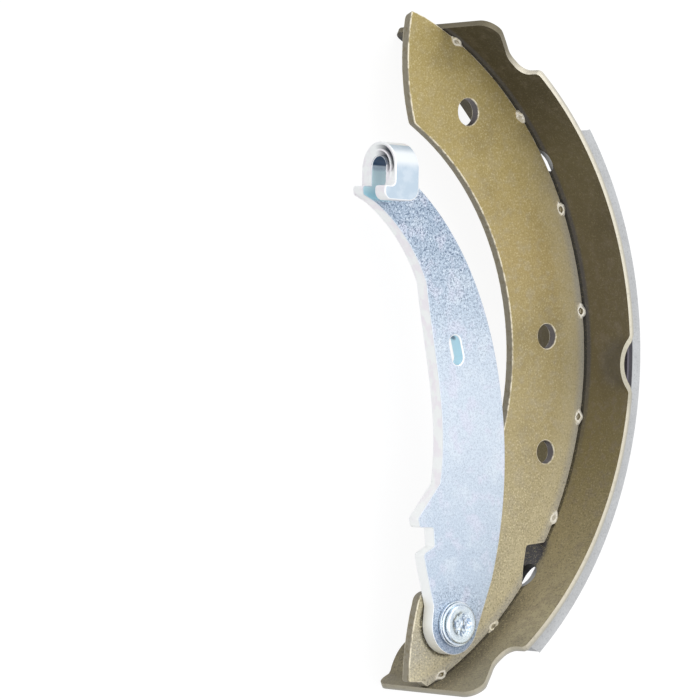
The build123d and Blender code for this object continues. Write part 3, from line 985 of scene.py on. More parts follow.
@dataclass
class TableShell:
    """Curved table: rolled strip with round end tabs, side bites, windows and pressed-in pads."""

    inner_radius: float = 95.0
    thickness: float = 1.5
    width: float = 37.2
    half_angle: float = 65.3
    tab_corner: float = 3.6
    columns: int = 280
    rows: int = 48
    window_angles: tuple[float, ...] = (34.6, -37.1)
    window_radius: float = 3.9
    window_reach: float = 9.0
    wall_reach: float = 4.68
    bite_angle: float = 57.0
    bite_corners: tuple[Flat, ...] = (
        (-12.2, 0.0), (-8.2, 0.0), (-8.2, -6.2), (-1.5, -6.2), (8.8, 0.0), (12.0, 0.0)
    )
    bite_radii: tuple[float, ...] = (1.0, 3.0, 8.0, 4.0)
    bite_steps: int = 8
    bite_fade: float = 16.0
    pads: tuple[Pad, ...] = (
        Pad(0.0, 37.2, 3.7, 7.5, 9.25), Pad(56.0, 0.0, 4.3, 9.0, 13.1), Pad(-56.0, 0.0, 4.3, 9.0, 13.1)
    )
    pad_softness: float = 1.4
    rim_softness: float = 0.35
    slope_reach: float = 0.1
    edge_break: float = 0.2
    sharp_degrees: float = 50.0

    def build(self, coat: bpy.types.Material) -> None:
        """Make the table and put it in place of its solid."""
        bm = bmesh.new()
        bmesh.ops.create_grid(bm, x_segments=self.columns, y_segments=self.rows, size=1.0)
        half_length = math.radians(self.half_angle) * self.middle_radius()
        for vert in bm.verts:
            vert.co = Vector((vert.co.x * half_length, (vert.co.y + 1) / 2 * self.width, 0.0))
        for angle in self.window_angles:
            self.open_window(bm, math.radians(angle) * self.middle_radius(), half_length)
        for vert in bm.verts:
            self.round_tab(vert.co, half_length)
        for side in (1, -1):
            self.cut_bite(bm, side)
        grown = bmesh.ops.extrude_face_region(bm, geom=bm.faces)["geom"]
        outer = [part for part in grown if isinstance(part, bmesh.types.BMVert)]
        bmesh.ops.translate(bm, verts=outer, vec=(0, 0, self.thickness))
        bmesh.ops.recalc_face_normals(bm, faces=bm.faces)
        start_edges(bm)
        self.mark_windows(bm)
        self.press_and_roll(bm)
        bmesh.ops.recalc_face_normals(bm, faces=bm.faces)
        break_edges(bm, self.edge_break, self.sharp_degrees)
        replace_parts(add_piece("table_shell", bm, coat, Body.SHOE), "table")

    def middle_radius(self) -> float:
        """Radius of the middle of the table's thickness."""
        return self.inner_radius + self.thickness / 2

    def open_window(self, bm: bmesh.types.BMesh, along: float, half_length: float) -> None:
        """Turn the grid's squares round one window into rings, and open the inner ones.

        Args:
            bm: Flat strip, still a plain grid near the window.
            along: Place of the window's middle along the strip.
            half_length: Half of the strip's length.
        """
        step_x = 2 * half_length / self.columns
        step_y = self.width / self.rows
        cells_x = round(self.window_radius / step_x)
        cells_y = round(self.window_radius / step_y)
        grid_x = round((along + half_length) / step_x) * step_x - half_length
        middle = self.width / 2
        outer_ring = self.window_reach / self.window_radius
        first_ring = 0.999
        inner = []
        for vert in bm.verts:
            x = (vert.co.x - grid_x) / (cells_x * step_x)
            y = (vert.co.y - middle) / (cells_y * step_y)
            ring = max(abs(x), abs(y))
            if ring < first_ring:
                inner.append(vert)
            elif ring < outer_ring:
                share = (outer_ring - ring) / (outer_ring - 1)
                square = Vector((x * cells_x * step_x, y * cells_y * step_y))
                circle = Vector((x, y)).normalized() * ring * self.window_radius
                moved = square.lerp(circle, share)
                vert.co.x = grid_x + moved.x + share * (along - grid_x)
                vert.co.y = middle + moved.y
        bmesh.ops.delete(bm, geom=inner, context="VERTS")

    def mark_windows(self, bm: bmesh.types.BMesh) -> None:
        """Mark the walls of the windows, which are painted dark as shadow, on the flat strip."""
        window_shadow = bm.faces.layers.float.new(SHADED_WALL_LAYER)
        cut = bm.faces.layers.float.get(CUT_LAYER)
        middles = [Vector((math.radians(angle) * self.middle_radius(), self.width / 2)) for angle in self.window_angles]
        for face in bm.faces:
            centre = face.calc_center_median().xy
            if face[cut] and any((centre - middle).length < self.wall_reach for middle in middles):
                face[window_shadow] = 1.0

    def round_tab(self, place: Vector, half_length: float) -> None:
        """Move one point of the strip so that the strip's four corners are round."""
        radius = self.tab_corner
        x = (abs(place.x) - (half_length - radius)) / radius
        y = (abs(place.y - self.width / 2) - (self.width / 2 - radius)) / radius
        if x > 0 and y > 0:
            new_x = half_length - radius + radius * x * math.sqrt(1 - y * y / 2)
            new_y = self.width / 2 - radius + radius * y * math.sqrt(1 - x * x / 2)
            place.x = math.copysign(new_x, place.x)
            place.y = self.width / 2 + math.copysign(new_y, place.y - self.width / 2)

    def cut_bite(self, bm: bmesh.types.BMesh, side: int) -> None:
        """Draw the strip's upper edge down along one bite, and let the rows below follow it.

        Args:
            bm: Flat strip.
            side: 1 at the piston end and -1 at the anchor end.
        """
        path = rounded_path(self.bite_corners, self.bite_radii, self.bite_steps)
        middle = math.radians(self.bite_angle) * self.middle_radius()
        start, end = self.bite_corners[0][0], self.bite_corners[-1][0]
        for vert in bm.verts:
            local = side * vert.co.x - middle
            follow = 1 - (self.width - vert.co.y) / self.bite_fade
            if start < local < end and follow > 0:
                target = point_along(path, (local - start) / (end - start))
                vert.co.x += side * follow * (target.x - local)
                vert.co.y += follow * target.y

    def press_and_roll(self, bm: bmesh.types.BMesh) -> None:
        """Press the pads in and roll the strip to the drum's axis, in metres."""
        reach = self.slope_reach
        for vert in bm.verts:
            along, height, level = vert.co
            sunk = self.sunk(along, height)
            slope = (self.sunk(along + reach, height) - self.sunk(along - reach, height)) / (2 * reach)
            turn = along / self.middle_radius()
            outward = Vector((math.cos(turn), math.sin(turn), 0.0))
            onward = Vector((-math.sin(turn), math.cos(turn), 0.0))
            place = outward * (self.inner_radius - sunk) + (outward + slope * onward).normalized() * level
            vert.co = (place + Vector((0.0, 0.0, height))) * MM

    def sunk(self, along: float, height: float) -> float:
        """How far all the pads together move a point of the strip inward."""
        return sum(self.pad_depth(pad, along, height) for pad in self.pads)

    def pad_depth(self, pad: Pad, along: float, height: float) -> float:
        """How far one pad moves a point of the table inward.

        Args:
            pad: The pad.
            along: Place along the strip.
            height: Place across the strip.

        Returns:
            The inward move in millimetres.
        """
        across = along - math.radians(pad.angle) * self.middle_radius()
        if abs(across) > pad.bend:
            return 0.0
        crown = pad.depth - pad.bend + math.sqrt(pad.bend * pad.bend - across * across)
        away = abs(height - pad.edge)
        softness = self.rim_softness + (self.pad_softness - self.rim_softness) * min(away / pad.reach, 1.0)
        return soft_rise(crown - pad.depth * away / pad.reach, softness)


@dataclass(frozen=True)
class Weld:
    """One weld of the web to the table.

    angle is its place round the drum in degrees and radius its place in millimetres. slit says how deep its
    slit is and how much painted shade it takes, and shine how much bare metal it shows, both from 0 to 1.
    """

    angle: float
    radius: float
    slit: float
    shine: float


@dataclass
class WebPlate:
    """Flat crescent web, with a splashed nugget at each weld to the table."""

    edge_break: float = 0.3
    end_round: float = 0.45
    end_segments: int = 4
    tip: Flat = (29.0, 90.1)
    tip_reach: float = 2.4
    tip_roll: Flat = (0.4, -1.0)
    tip_cuts: int = 4
    planing: float = 0.004
    welds: tuple[Weld, ...] = (
        Weld(61.8, 94.6, 0.45, 0.75), Weld(43.6, 94.5, 0.25, 0.85), Weld(26.1, 94.1, 0.9, 0.75),
        Weld(8.7, 94.1, 1.0, 0.8), Weld(-8.8, 94.1, 0.9, 0.7), Weld(-26.3, 94.4, 0.35, 0.5),
        Weld(-48.2, 94.9, 0.5, 0.0), Weld(-61.7, 94.4, 1.0, 0.55),
    )
    weld_profile: tuple[Flat, ...] = (
        (0.0, -1.0), (0.85, -1.0), (1.2, -0.5), (1.26, 0.0), (1.14, 0.35), (0.9, 0.55), (0.6, 0.5),
        (0.36, 0.1), (0.2, -0.35), (0.0, -0.4),
    )
    weld_steps: int = 28
    weld_length: float = 1.75
    weld_tilt: float = 41.0
    weld_rise: float = 0.15
    weld_taper: float = 0.5
    weld_lumps: float = 0.22
    lump_scale: float = 1.3
    lump_shift: Flat = (7.0, 3.0)
    slit_radius: float = 0.42
    slit_floor: float = -0.6
    slit_fill: float = 0.7
    slit_stretch: float = 1.45

    def build(self, coat: bpy.types.Material) -> None:
        """Make the web and put it in place of its solid."""
        bm = merged_copy("web")
        self.plane_off_nuggets(bm)
        self.round_ends(bm)
        self.divide_rim(bm)
        break_edges(bm, self.edge_break)
        self.roll_tip(bm)
        tear = bm.verts.layers.float.new(DARK_GROOVE_LAYER)
        splash = bm.faces.layers.float.new(SPLASH_LAYER)
        for index, weld in enumerate(self.welds):
            for side in (1, -1):
                self.add_nugget(bm, (tear, splash), weld, side, index)
        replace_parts(add_piece("web_plate", bm, coat, Body.SHOE), "web")

    def plane_off_nuggets(self, bm: bmesh.types.BMesh) -> None:
        """Cut the solid's plain weld cones flush with both faces of the copied web."""
        for level, side in ((WEB_TOP, 1), (WEB_BOTTOM, -1)):
            cut_away(bm, (0.0, 0.0, level + side * self.planing), (0.0, 0.0, side), MERGED / 10)
            bmesh.ops.holes_fill(bm, edges=[edge for edge in bm.edges if edge.is_boundary], sides=0)
            for vert in bm.verts:
                if side * (vert.co.z - level * MM) > 0:
                    vert.co.z = level * MM
        bmesh.ops.remove_doubles(bm, verts=bm.verts, dist=TOUCHING)
        bmesh.ops.recalc_face_normals(bm, faces=bm.faces)
        join_flats(bm)

    def round_ends(self, bm: bmesh.types.BMesh) -> None:
        """Round the upright corners at the web's two ends."""
        thickness = (WEB_TOP - WEB_BOTTOM) * MM
        ends = [
            edge for edge in sharp_edges(bm)
            if edge.is_convex and edge.calc_length() > thickness - 3 * TOUCHING
            and edge.verts[0].co.xy == edge.verts[1].co.xy
        ]
        bevel(bm, ends, self.end_round, self.end_segments)

    def divide_rim(self, bm: bmesh.types.BMesh) -> None:
        """Divide the long rim edges beside the tip, so that the tip's rollover has points to bend."""
        tip = Vector(self.tip) * MM
        shortest = 1.0 * MM
        level_within = 0.1 * MM
        long_edges = [
            edge for edge in bm.edges
            if edge.calc_length() > shortest and abs(edge.verts[0].co.z - edge.verts[1].co.z) < level_within
            and min((vert.co.xy - tip).length for vert in edge.verts) < self.tip_reach * MM
        ]
        bmesh.ops.subdivide_edges(bm, edges=long_edges, cuts=self.tip_cuts)

    def roll_tip(self, bm: bmesh.types.BMesh) -> None:
        """Draw the lower side of the piston-end tip in, as the shear rolls it over."""
        tip = Vector(self.tip) * MM
        for vert in bm.verts:
            near = 1.0 - (vert.co.xy - tip).length / (self.tip_reach * MM)
            depth = (WEB_TOP * MM - vert.co.z) / ((WEB_TOP - WEB_BOTTOM) * MM)
            if near > 0:
                share = near * near * depth * depth
                vert.co.x += self.tip_roll[0] * share * MM
                vert.co.y += self.tip_roll[1] * share * MM

    def add_nugget(self, bm: bmesh.types.BMesh, layers: tuple[Any, Any], weld: Weld, side: int, index: int) -> None:
        """Add one lumpy weld nugget with a slit in its crown, in the corner of web and table.

        Args:
            bm: Web that it is added to.
            layers: Vertex layer that darkens the slit with painted shade, and face layer that bares the metal.
            weld: The weld.
            side: 1 on the lever's side of the web and -1 on the other.
            index: Number of the weld, which varies its lumps.
        """
        tear, splash = layers
        nugget = lathe(self.weld_profile, (0.0, 0.0), self.weld_steps)
        shift = Vector((self.lump_shift[0] * index, self.lump_shift[1] * side, 0.0))
        slit = set()
        for vert in nugget.verts:
            reach = vert.co.xy.length
            lump = noise.noise(vert.co / MM * self.lump_scale + shift)
            pointed = 1.0 - self.weld_taper * (vert.co.y / max(reach, TOUCHING)) ** 2
            in_slit = reach < self.slit_radius * MM and vert.co.z > self.slit_floor * MM
            if in_slit:
                slit.add(vert.index)
                vert.co.z += (1.0 - weld.slit) * self.slit_fill * MM
            vert.co *= 1.0 + self.weld_lumps * lump
            vert.co.y *= self.weld_length * (self.slit_stretch if in_slit else 1.0)
            vert.co.x *= pointed
        into_corner = Matrix.Rotation(math.radians(-self.weld_tilt), 4, "Y")
        mirror = Matrix.Diagonal((1, 1, side, 1))
        level = WEB_TOP if side > 0 else WEB_BOTTOM
        foot = Matrix.Translation(Vector((weld.radius, 0.0, level + self.weld_rise * side)) * MM)
        turn = Matrix.Rotation(math.radians(weld.angle), 4, "Z") @ foot @ mirror @ into_corner
        made = {}
        for vert in nugget.verts:
            made[vert.index] = bm.verts.new(turn @ vert.co)
            made[vert.index][tear] = weld.slit if vert.index in slit else 0.0
        for face in nugget.faces:
            corners = [made[vert.index] for vert in face.verts]
            copied = bm.faces.new(corners if side > 0 else corners[::-1])
            copied[splash] = weld.shine
        nugget.free()


@dataclass
class FrictionLining:
    """Pressed lining bonded round the table."""

    edge_break: float = 0.08
    radius: float = 101.5
    bottom: float = 2.5
    top: float = 34.7
    solid_break: float = 0.4
    window_angles: tuple[float, ...] = (33.2, -35.7)
    window_middle: float = 14.5
    window_size: Flat = (11.0, 9.0)
    window_radius: float = 96.5
    window_slack: float = 0.1
    window_lift: float = 1.0

    def build(self, finish: bpy.types.Material) -> None:
        """Make the lining and put it in place of its solid."""
        bm = merged_copy("lining")
        self.square_off(bm)
        self.draw_up_windows(bm)
        break_edges(bm, self.edge_break)
        self.mark_walls(bm)
        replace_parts(add_piece("lining_block", bm, finish, Body.SHOE), "lining")

    def in_window(self, place: Vector) -> bool:
        """Whether a point in metres lies within a window's outline."""
        turn = math.degrees(math.atan2(place.y, place.x))
        half_turn = math.degrees(self.window_size[0] / 2 / self.window_radius) + self.window_slack
        beside = any(abs(turn - angle) < half_turn for angle in self.window_angles)
        return beside and abs(place.z / MM - self.window_middle) < self.window_size[1] / 2 + self.window_slack

    def draw_up_windows(self, bm: bmesh.types.BMesh) -> None:
        """Draw the lower half of each window's outline up, so that the windows are less high than the solid's."""
        half = self.window_size[1] / 2 * MM
        for vert in bm.verts:
            below = self.window_middle * MM - vert.co.z
            if below > 0 and self.in_window(vert.co):
                vert.co.z += self.window_lift * MM * below / half

    def mark_walls(self, bm: bmesh.types.BMesh) -> None:
        """Mark the walls of the windows, which are painted dark as shadow."""
        layer = bm.faces.layers.float.new(SHADED_WALL_LAYER)
        for face in bm.faces:
            centre = face.calc_center_median()
            outward = Vector((centre.x, centre.y, 0.0)).normalized()
            if abs(face.normal.dot(outward)) < UPRIGHT and self.in_window(centre):
                face[layer] = 1.0

    def square_off(self, bm: bmesh.types.BMesh) -> None:
        """Move the solid's broken side edges out to the sharp corners that the grinder leaves."""
        near = 0.02
        for vert in bm.verts:
            out = vert.co.xy.length / MM
            level = vert.co.z / MM
            for side, inner in ((self.top, self.top - self.solid_break), (self.bottom, self.bottom + self.solid_break)):
                if abs(level - side) < near and abs(out - (self.radius - self.solid_break)) < near:
                    vert.co.xy *= (self.radius - self.edge_break / 2) / out
                elif abs(level - inner) < near and out > self.radius - near:
                    vert.co.z = (side + math.copysign(self.edge_break / 2, inner - side)) * MM


@dataclass(frozen=True)
class Groove:
    """One torn groove in the cut face of the lever's bend.

    levels are the heights of its two sides and depth its greatest depth, in millimetres. It begins where the
    strip has turned by start degrees and is at its deepest from full degrees on.
    """

    levels: Flat
    depth: float
    start: float
    full: float


@dataclass
class ParkingLever:
    """Pressed lever with its end folded back into a cable hook, which has an ear at its lip."""

    edge_break: float = 0.3
    rim_break: float = 0.85
    rim_segments: int = 4
    bend_draw: float = 0.9
    slot_middle: Flat = (43.95, 2.15)
    slot_reach: float = 4.5
    plate_bottom: float = 20.2
    plate_top: float = 24.0
    hook_left: float = 12.8
    hook_right: float = 21.0
    bend_start: float = 48.2
    bend_radius: float = 2.7
    bend_steps: int = 24
    lip: float = 39.5
    ear_width: float = 3.7
    ear_reach: float = 3.5
    flap_steps: int = 3
    corners: tuple[Place, ...] = ((12.8, 43.2, 1.2), (9.3, 43.2, 0.8), (9.3, 39.5, 2.2), (21.0, 39.5, 3.2))
    corner_segments: int = 6
    section_levels: tuple[float, ...] = (20.95, 21.15, 21.95, 22.15, 22.55, 22.7, 23.65, 23.85)
    grooves: tuple[Groove, ...] = (Groove((21.15, 21.95), 0.8, 70.0, 115.0), Groove((22.7, 23.65), 1.2, 65.0, 110.0))
    groove_end: float = 47.0
    slack: float = 0.02

    def build(self, zinc: bpy.types.Material) -> None:
        """Make the lever and put it in place of its solid."""
        bm = merged_copy("lever")
        self.fold_hook(bm)
        start_edges(bm)
        self.round_rims(bm)
        break_edges(bm, self.edge_break)
        self.tear_grooves(bm)
        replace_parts(add_piece("lever_blade", bm, zinc, Body.LEVER), "lever")

    def axis(self) -> Vector:
        """Point on the axis that the end is folded about, in millimetres."""
        return Vector((self.hook_left, self.bend_start, self.plate_top + self.bend_radius))

    def fold_hook(self, bm: bmesh.types.BMesh) -> None:
        """Cut the copied hook off at its foot, and fold a finer one from the plate's own section."""
        cut_away(bm, (0.0, 0.0, self.plate_top + self.slack), ALONG_Z)
        cut_away(bm, (0.0, self.bend_start, 0.0), ALONG_Y)
        self.band_section(bm)
        rim = [edge for edge in bm.edges if edge.is_boundary]
        spun = bmesh.ops.spin(
            bm, geom=rim, cent=self.axis() * MM, axis=(1, 0, 0), angle=math.pi, steps=self.bend_steps, use_merge=False
        )["geom_last"]
        rim = [part for part in spun if isinstance(part, bmesh.types.BMEdge)]
        ear_top = self.lip + self.ear_width
        step = (ear_top - self.bend_start) / self.flap_steps
        for reach in [step] * self.flap_steps + [self.lip - ear_top]:
            grown = bmesh.ops.extrude_edge_only(bm, edges=rim)["geom"]
            rim = [part for part in grown if isinstance(part, bmesh.types.BMEdge)]
            verts = [part for part in grown if isinstance(part, bmesh.types.BMVert)]
            bmesh.ops.translate(bm, verts=verts, vec=(0, reach * MM, 0))
        bmesh.ops.contextual_create(bm, geom=rim)
        bmesh.ops.recalc_face_normals(bm, faces=bm.faces)
        self.grow_ear(bm, ear_top)
        for x, y, radius in self.corners:
            self.round_corner(bm, x, y, radius)
        bmesh.ops.recalc_face_normals(bm, faces=bm.faces)

    def band_section(self, bm: bmesh.types.BMesh) -> None:
        """Divide the left side of the open section at the levels where the cut tears."""
        left = [
            edge for edge in bm.edges
            if edge.is_boundary and all(abs(vert.co.x - self.hook_left * MM) < TOUCHING for vert in edge.verts)
        ]
        made = bmesh.ops.subdivide_edges(bm, edges=left, cuts=len(self.section_levels))["geom_inner"]
        verts = sorted((part for part in made if isinstance(part, bmesh.types.BMVert)), key=lambda vert: vert.co.z)
        for vert, level in zip(verts, self.section_levels):
            vert.co.z = level * MM

    def grow_ear(self, bm: bmesh.types.BMesh, ear_top: float) -> None:
        """Draw the ear out of the left side of the flap, beside its lip."""
        leftward = -0.9
        sides = [
            face for face in bm.faces
            if face.normal.x < leftward and face.calc_center_median().y < ear_top * MM
            and face.calc_center_median().z > (self.plate_top + self.bend_radius) * MM
        ]
        grown = bmesh.ops.extrude_face_region(bm, geom=sides)["geom"]
        verts = [part for part in grown if isinstance(part, bmesh.types.BMVert)]
        bmesh.ops.translate(bm, verts=verts, vec=(-self.ear_reach * MM, 0, 0))
        bmesh.ops.delete(bm, geom=sides, context="FACES")

    def round_corner(self, bm: bmesh.types.BMesh, x: float, y: float, radius: float) -> None:
        """Round one upright corner of the flap, in millimetres."""
        corner = Vector((x, y)) * MM
        above_plate = (self.plate_top + 1) * MM
        upright = [
            edge for edge in bm.edges
            if all((vert.co.xy - corner).length < TOUCHING and vert.co.z > above_plate for vert in edge.verts)
        ]
        bevel(bm, upright, radius, self.corner_segments, clamp=False)

    def round_rims(self, bm: bmesh.types.BMesh) -> None:
        """Round the outer edges of the hook and the slot's edges more than the rest, as the press leaves them."""
        outside = (self.plate_top - self.plate_bottom + self.bend_radius - self.slack) * MM
        past_fold = 0.5 * MM
        axis = self.axis() * MM
        slot = Vector(self.slot_middle) * MM

        def on_rim(vert: bmesh.types.BMVert) -> bool:
            """Whether a point lies on the outer face of the hook or on the slot's mouth."""
            arm = vert.co - axis
            away = arm.yz.length if arm.y > past_fold else arm.z
            on_top = vert.co.z > self.plate_top * MM - TOUCHING
            return away > outside or (on_top and (vert.co.xy - slot).length < self.slot_reach * MM)

        rims = [edge for edge in sharp_edges(bm) if all(on_rim(vert) for vert in edge.verts)]
        round_over(bm, rims, self.rim_break, self.rim_segments)
        half = (self.hook_right - self.hook_left) / 2 * MM
        for vert in bm.verts:
            arm = vert.co - axis
            if arm.y > 0 and arm.yz.length > outside / 2 and arm.x > half:
                vert.co.x -= self.bend_draw * MM * (arm.x / half - 1) ** 2 * arm.y / arm.yz.length

    def tear_grooves(self, bm: bmesh.types.BMesh) -> None:
        """Sink the torn grooves in the cut face of the bend, deeper towards the flap."""
        layer = bm.verts.layers.float.new(DARK_GROOVE_LAYER)
        axis = self.axis() * MM
        fade = (self.bend_start - self.groove_end) * MM
        for groove in self.grooves:
            radii = [axis.z - level * MM for level in groove.levels]
            for vert in bm.verts:
                arm = vert.co - axis
                away = arm.yz.length if arm.y > 0 else arm.z
                off_side = min(abs(away - radius) for radius in radii) > self.slack * MM
                if abs(arm.x) > TOUCHING or arm.y < -fade or off_side:
                    continue
                turned = 90.0 + math.degrees(math.atan2(arm.z, arm.y)) if arm.y > 0 else 180.0
                begun = min(max((turned - groove.start) / (groove.full - groove.start), 0.0), 1.0)
                share = begun * min(1.0, 1.0 + arm.y / fade)
                vert.co.x += share * groove.depth * MM
                vert[layer] = share


@dataclass
class PivotPin:
    """Riveted pin with a peened, cratered head, and the two washers under that head."""

    profile: tuple[Flat, ...] = (
        (0.0, 15.5), (4.6, 15.5), (5.0, 15.56), (5.3, 15.75), (5.45, 16.05), (5.5, 16.4), (5.5, 17.2),
        (5.4, 17.3), (4.0, 17.3), (4.0, 25.85), (4.95, 25.85), (5.1, 25.98), (5.1, 26.3), (5.04, 26.5),
        (4.9, 26.65), (4.65, 26.73), (4.4, 26.75), (4.0, 26.74), (3.6, 26.72), (3.3, 26.68), (3.0, 26.58),
        (2.7, 26.47), (2.4, 26.4), (2.1, 26.38), (1.8, 26.38), (1.5, 26.4), (1.2, 26.43), (0.9, 26.46),
        (0.6, 26.48), (0.3, 26.49), (0.0, 26.5),
    )
    steps: int = 96
    peened_above: float = 26.3
    crater_radius: float = 3.7
    crater_wobble: float = 0.14
    wobble_scale: float = 1.4
    crater_lumps: float = 0.13
    lump_scale: float = 1.3
    rim_ease: float = 3.0
    washer_break: float = 0.1

    def build(self, zinc: bpy.types.Material) -> None:
        """Make the pin and the washers and put them in place of their solids."""
        bm = lathe(self.profile, PIVOT, self.steps)
        self.strike(bm)
        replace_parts(add_piece("pivot_pin_dressed", bm, zinc, Body.SHOE), "pivot_pin")
        for node in ("flat_washer", "spring_washer"):
            ring = merged_copy(node)
            break_edges(ring, self.washer_break)
            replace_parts(add_piece(node + "_dressed", ring, zinc, Body.SHOE), node)

    def strike(self, bm: bmesh.types.BMesh) -> None:
        """Make the crater in the head uneven, as a punch leaves it."""
        centre = Vector(PIVOT) * MM
        for vert in bm.verts:
            arm = vert.co.xy - centre
            share = 1.0 - arm.length / (self.crater_radius * MM)
            if vert.co.z > self.peened_above * MM and share > 0:
                ease = min(1.0, self.rim_ease * share)
                around = arm.to_3d().normalized()
                wobble = 1.0 + self.crater_wobble * ease * noise.noise(around * self.wobble_scale)
                lump = noise.noise(arm.to_3d() / MM * self.lump_scale)
                vert.co.x, vert.co.y = centre + arm * wobble
                vert.co.z += self.crater_lumps * ease * lump * MM


@dataclass(frozen=True)
class Softbox:
    """One square lamp: where it hangs and what it faces, its side in metres and its power in watts."""

    name: str
    place: Place
    target: Place
    size: float
    power: float

    def hang(self) -> None:
        """Add the lamp to the scene."""
        lamp = bpy.data.lights.new(self.name, "AREA")
        lamp.shape = "SQUARE"
        lamp.size = self.size
        lamp.energy = self.power
        item = add_object(self.name, lamp)
        item.location = self.place
        sight = Vector(self.target) - Vector(self.place)
        item.rotation_euler = sight.to_track_quat("-Z", "Y").to_euler()


@dataclass
class Studio:
    """Pale floor, soft lamps and the camera, in metres."""

    position: Place = (-0.630674, -0.015421, 0.754169)
    right: Place = (0.752717, 0.025400, 0.657854)
    down: Place = (0.030323, -0.999533, 0.003896)
    sight: Place = (0.657646, 0.017015, -0.753135)
    focal_pixels: float = 3800.0
    frame_pixels: float = 700.0
    sensor: float = 36.0
    nearest: float = 0.05
    farthest: float = 50.0
    ambient: float = 0.55
    paper_glow: float = 0.92
    floor_size: float = 6.0
    lamps: tuple[Softbox, ...] = (
        Softbox("top_softbox", (0.0, 0.15, 1.3), (0.04, 0.0, 0.0), 1.3, 7.0),
        Softbox("left_softbox", (-0.9, -0.15, 0.3), (0.06, 0.0, 0.02), 0.8, 2.2),
        Softbox("far_softbox", (0.15, 1.2, 0.7), (0.05, -0.03, 0.01), 0.8, 5.0),
    )

    def build(self) -> None:
        """Set up the world, the floor, the lamps and the camera."""
        bpy.context.scene.view_settings.view_transform = "Standard"
        self.add_world()
        self.add_floor()
        for lamp in self.lamps:
            lamp.hang()
        self.add_camera()

    def seen_or_mirrored(self, tree: bpy.types.NodeTree) -> bpy.types.NodeSocket:
        """Mask that is one for what the camera sees, straight or in a reflection, and zero for light."""
        rays = add_node(tree, "ShaderNodeLightPath").outputs
        mask = rays["Is Camera Ray"]
        for kind in ("Is Transmission Ray", "Is Glossy Ray"):
            mask = add_node(tree, "ShaderNodeMath", {"operation": "MAXIMUM"}, {0: mask, 1: rays[kind]}).outputs[0]
        return mask

    def add_world(self) -> None:
        """Even pale light all round, seen as white by the camera and in reflections."""
        world = bpy.data.worlds.new("studio_world")
        bpy.context.scene.world = world
        world.use_nodes = True
        tree = world.node_tree
        tree.nodes.clear()
        lighting = {"Color": colour("#f8faff"), "Strength": self.ambient}
        light = add_node(tree, "ShaderNodeBackground", None, lighting).outputs[0]
        white = add_node(tree, "ShaderNodeBackground", None, {"Color": colour("#ffffff"), "Strength": 1.0}).outputs[0]
        mixed = add_node(tree, "ShaderNodeMixShader", None, {0: self.seen_or_mirrored(tree), 1: light, 2: white})
        add_node(tree, "ShaderNodeOutputWorld", None, {"Surface": mixed.outputs[0]})

    def add_floor(self) -> None:
        """Wide floor under the table's edge, white to the camera but for the object's soft shadow."""
        bm = bmesh.new()
        bmesh.ops.create_grid(bm, x_segments=2, y_segments=2, size=self.floor_size)
        mesh = bpy.data.meshes.new("floor")
        bm.to_mesh(mesh)
        bm.free()
        mesh.materials.append(self.paper())
        add_object("floor", mesh)

    def paper(self) -> bpy.types.Material:
        """Material of the floor: grey paper to the light, and glowing paper to the camera."""
        material = bpy.data.materials.new("floor_paper")
        material.use_nodes = True
        tree = material.node_tree
        tree.nodes.clear()
        paper = add_node(tree, "ShaderNodeBsdfDiffuse", None, {"Color": colour("#c4c4c4")}).outputs[0]
        faint = add_node(tree, "ShaderNodeBsdfDiffuse", None, {"Color": colour("#666666")}).outputs[0]
        glowing = {"Color": colour("#ffffff"), "Strength": self.paper_glow}
        glow = add_node(tree, "ShaderNodeEmission", None, glowing).outputs[0]
        lit = add_node(tree, "ShaderNodeAddShader", None, {0: faint, 1: glow}).outputs[0]
        mixed = add_node(tree, "ShaderNodeMixShader", None, {0: self.seen_or_mirrored(tree), 1: paper, 2: lit})
        add_node(tree, "ShaderNodeOutputMaterial", None, {"Surface": mixed.outputs[0]})
        return material

    def add_camera(self) -> None:
        """Place the camera above the open side of the shoe."""
        data = bpy.data.cameras.new("camera")
        data.sensor_fit = "HORIZONTAL"
        data.sensor_width = self.sensor
        data.lens = self.focal_pixels / self.frame_pixels * self.sensor
        data.clip_start = self.nearest
        data.clip_end = self.farthest
        camera = add_object("camera", data)
        turn = Matrix((self.right, -Vector(self.down), -Vector(self.sight))).transposed()
        camera.matrix_world = Matrix.Translation(self.position) @ turn.to_4x4()
        bpy.context.scene.camera = camera


# ---- the shoe's own finishes --------------------------------------------------------------


WEB_COAT = FlakeCoat(
    name="zinc_flake_web",
    along=(
        (0.0, "#aa985f"), (0.2, "#b3a066"), (0.35, "#b29e68"), (0.47, "#ad9c6b"), (0.6, "#b5a578"),
        (0.8, "#c4b998"), (0.87, "#c0b698"), (0.92, "#b6b09f"), (1.0, "#b4aea1"),
    ),
    grey="#b3a88f", shade="#74663f", flake="#ece2bd", cut=((0.0, "#8b8472"), (1.0, "#948d7b")), edge="#ece3ca",
    bare="#f4f0e6", tearing=0.5, contrast=0.38, sanded=0.8, metallic=0.3, roughness=0.5,
    # Painted light on the web beside the table's wall, against the shade that the wall casts; a paler grey strip along
    # the outer edge; painted contact shadow round the lever's end.
    bands=(
        Band(ORIGIN, FROM_Z_AXIS, 84.0, 93.0, "#e6dab4", 0.5, (75.0, 25.0)),
        Band(ORIGIN, FROM_Z_AXIS, 91.5, 94.2, "#cbc5b6", 0.85, (62.0, 20.0)),
        Band((*PIVOT, 0.0), FROM_Z_AXIS, 9.3, 8.3, "#2e2a20", 0.85),
    ),
    # Painted shade on the walls round the web's three holes.
    cut_bands=(
        Band((49.85, 65.15, 0.0), FROM_Z_AXIS, 4.2, 3.9, "#5a555c", 0.8),
        Band((80.65, 7.0, 0.0), FROM_Z_AXIS, 3.9, 3.6, "#5a555c", 0.8),
        Band((81.15, -24.1, 0.0), FROM_Z_AXIS, 3.7, 3.4, "#5a555c", 0.8),
    ),
)
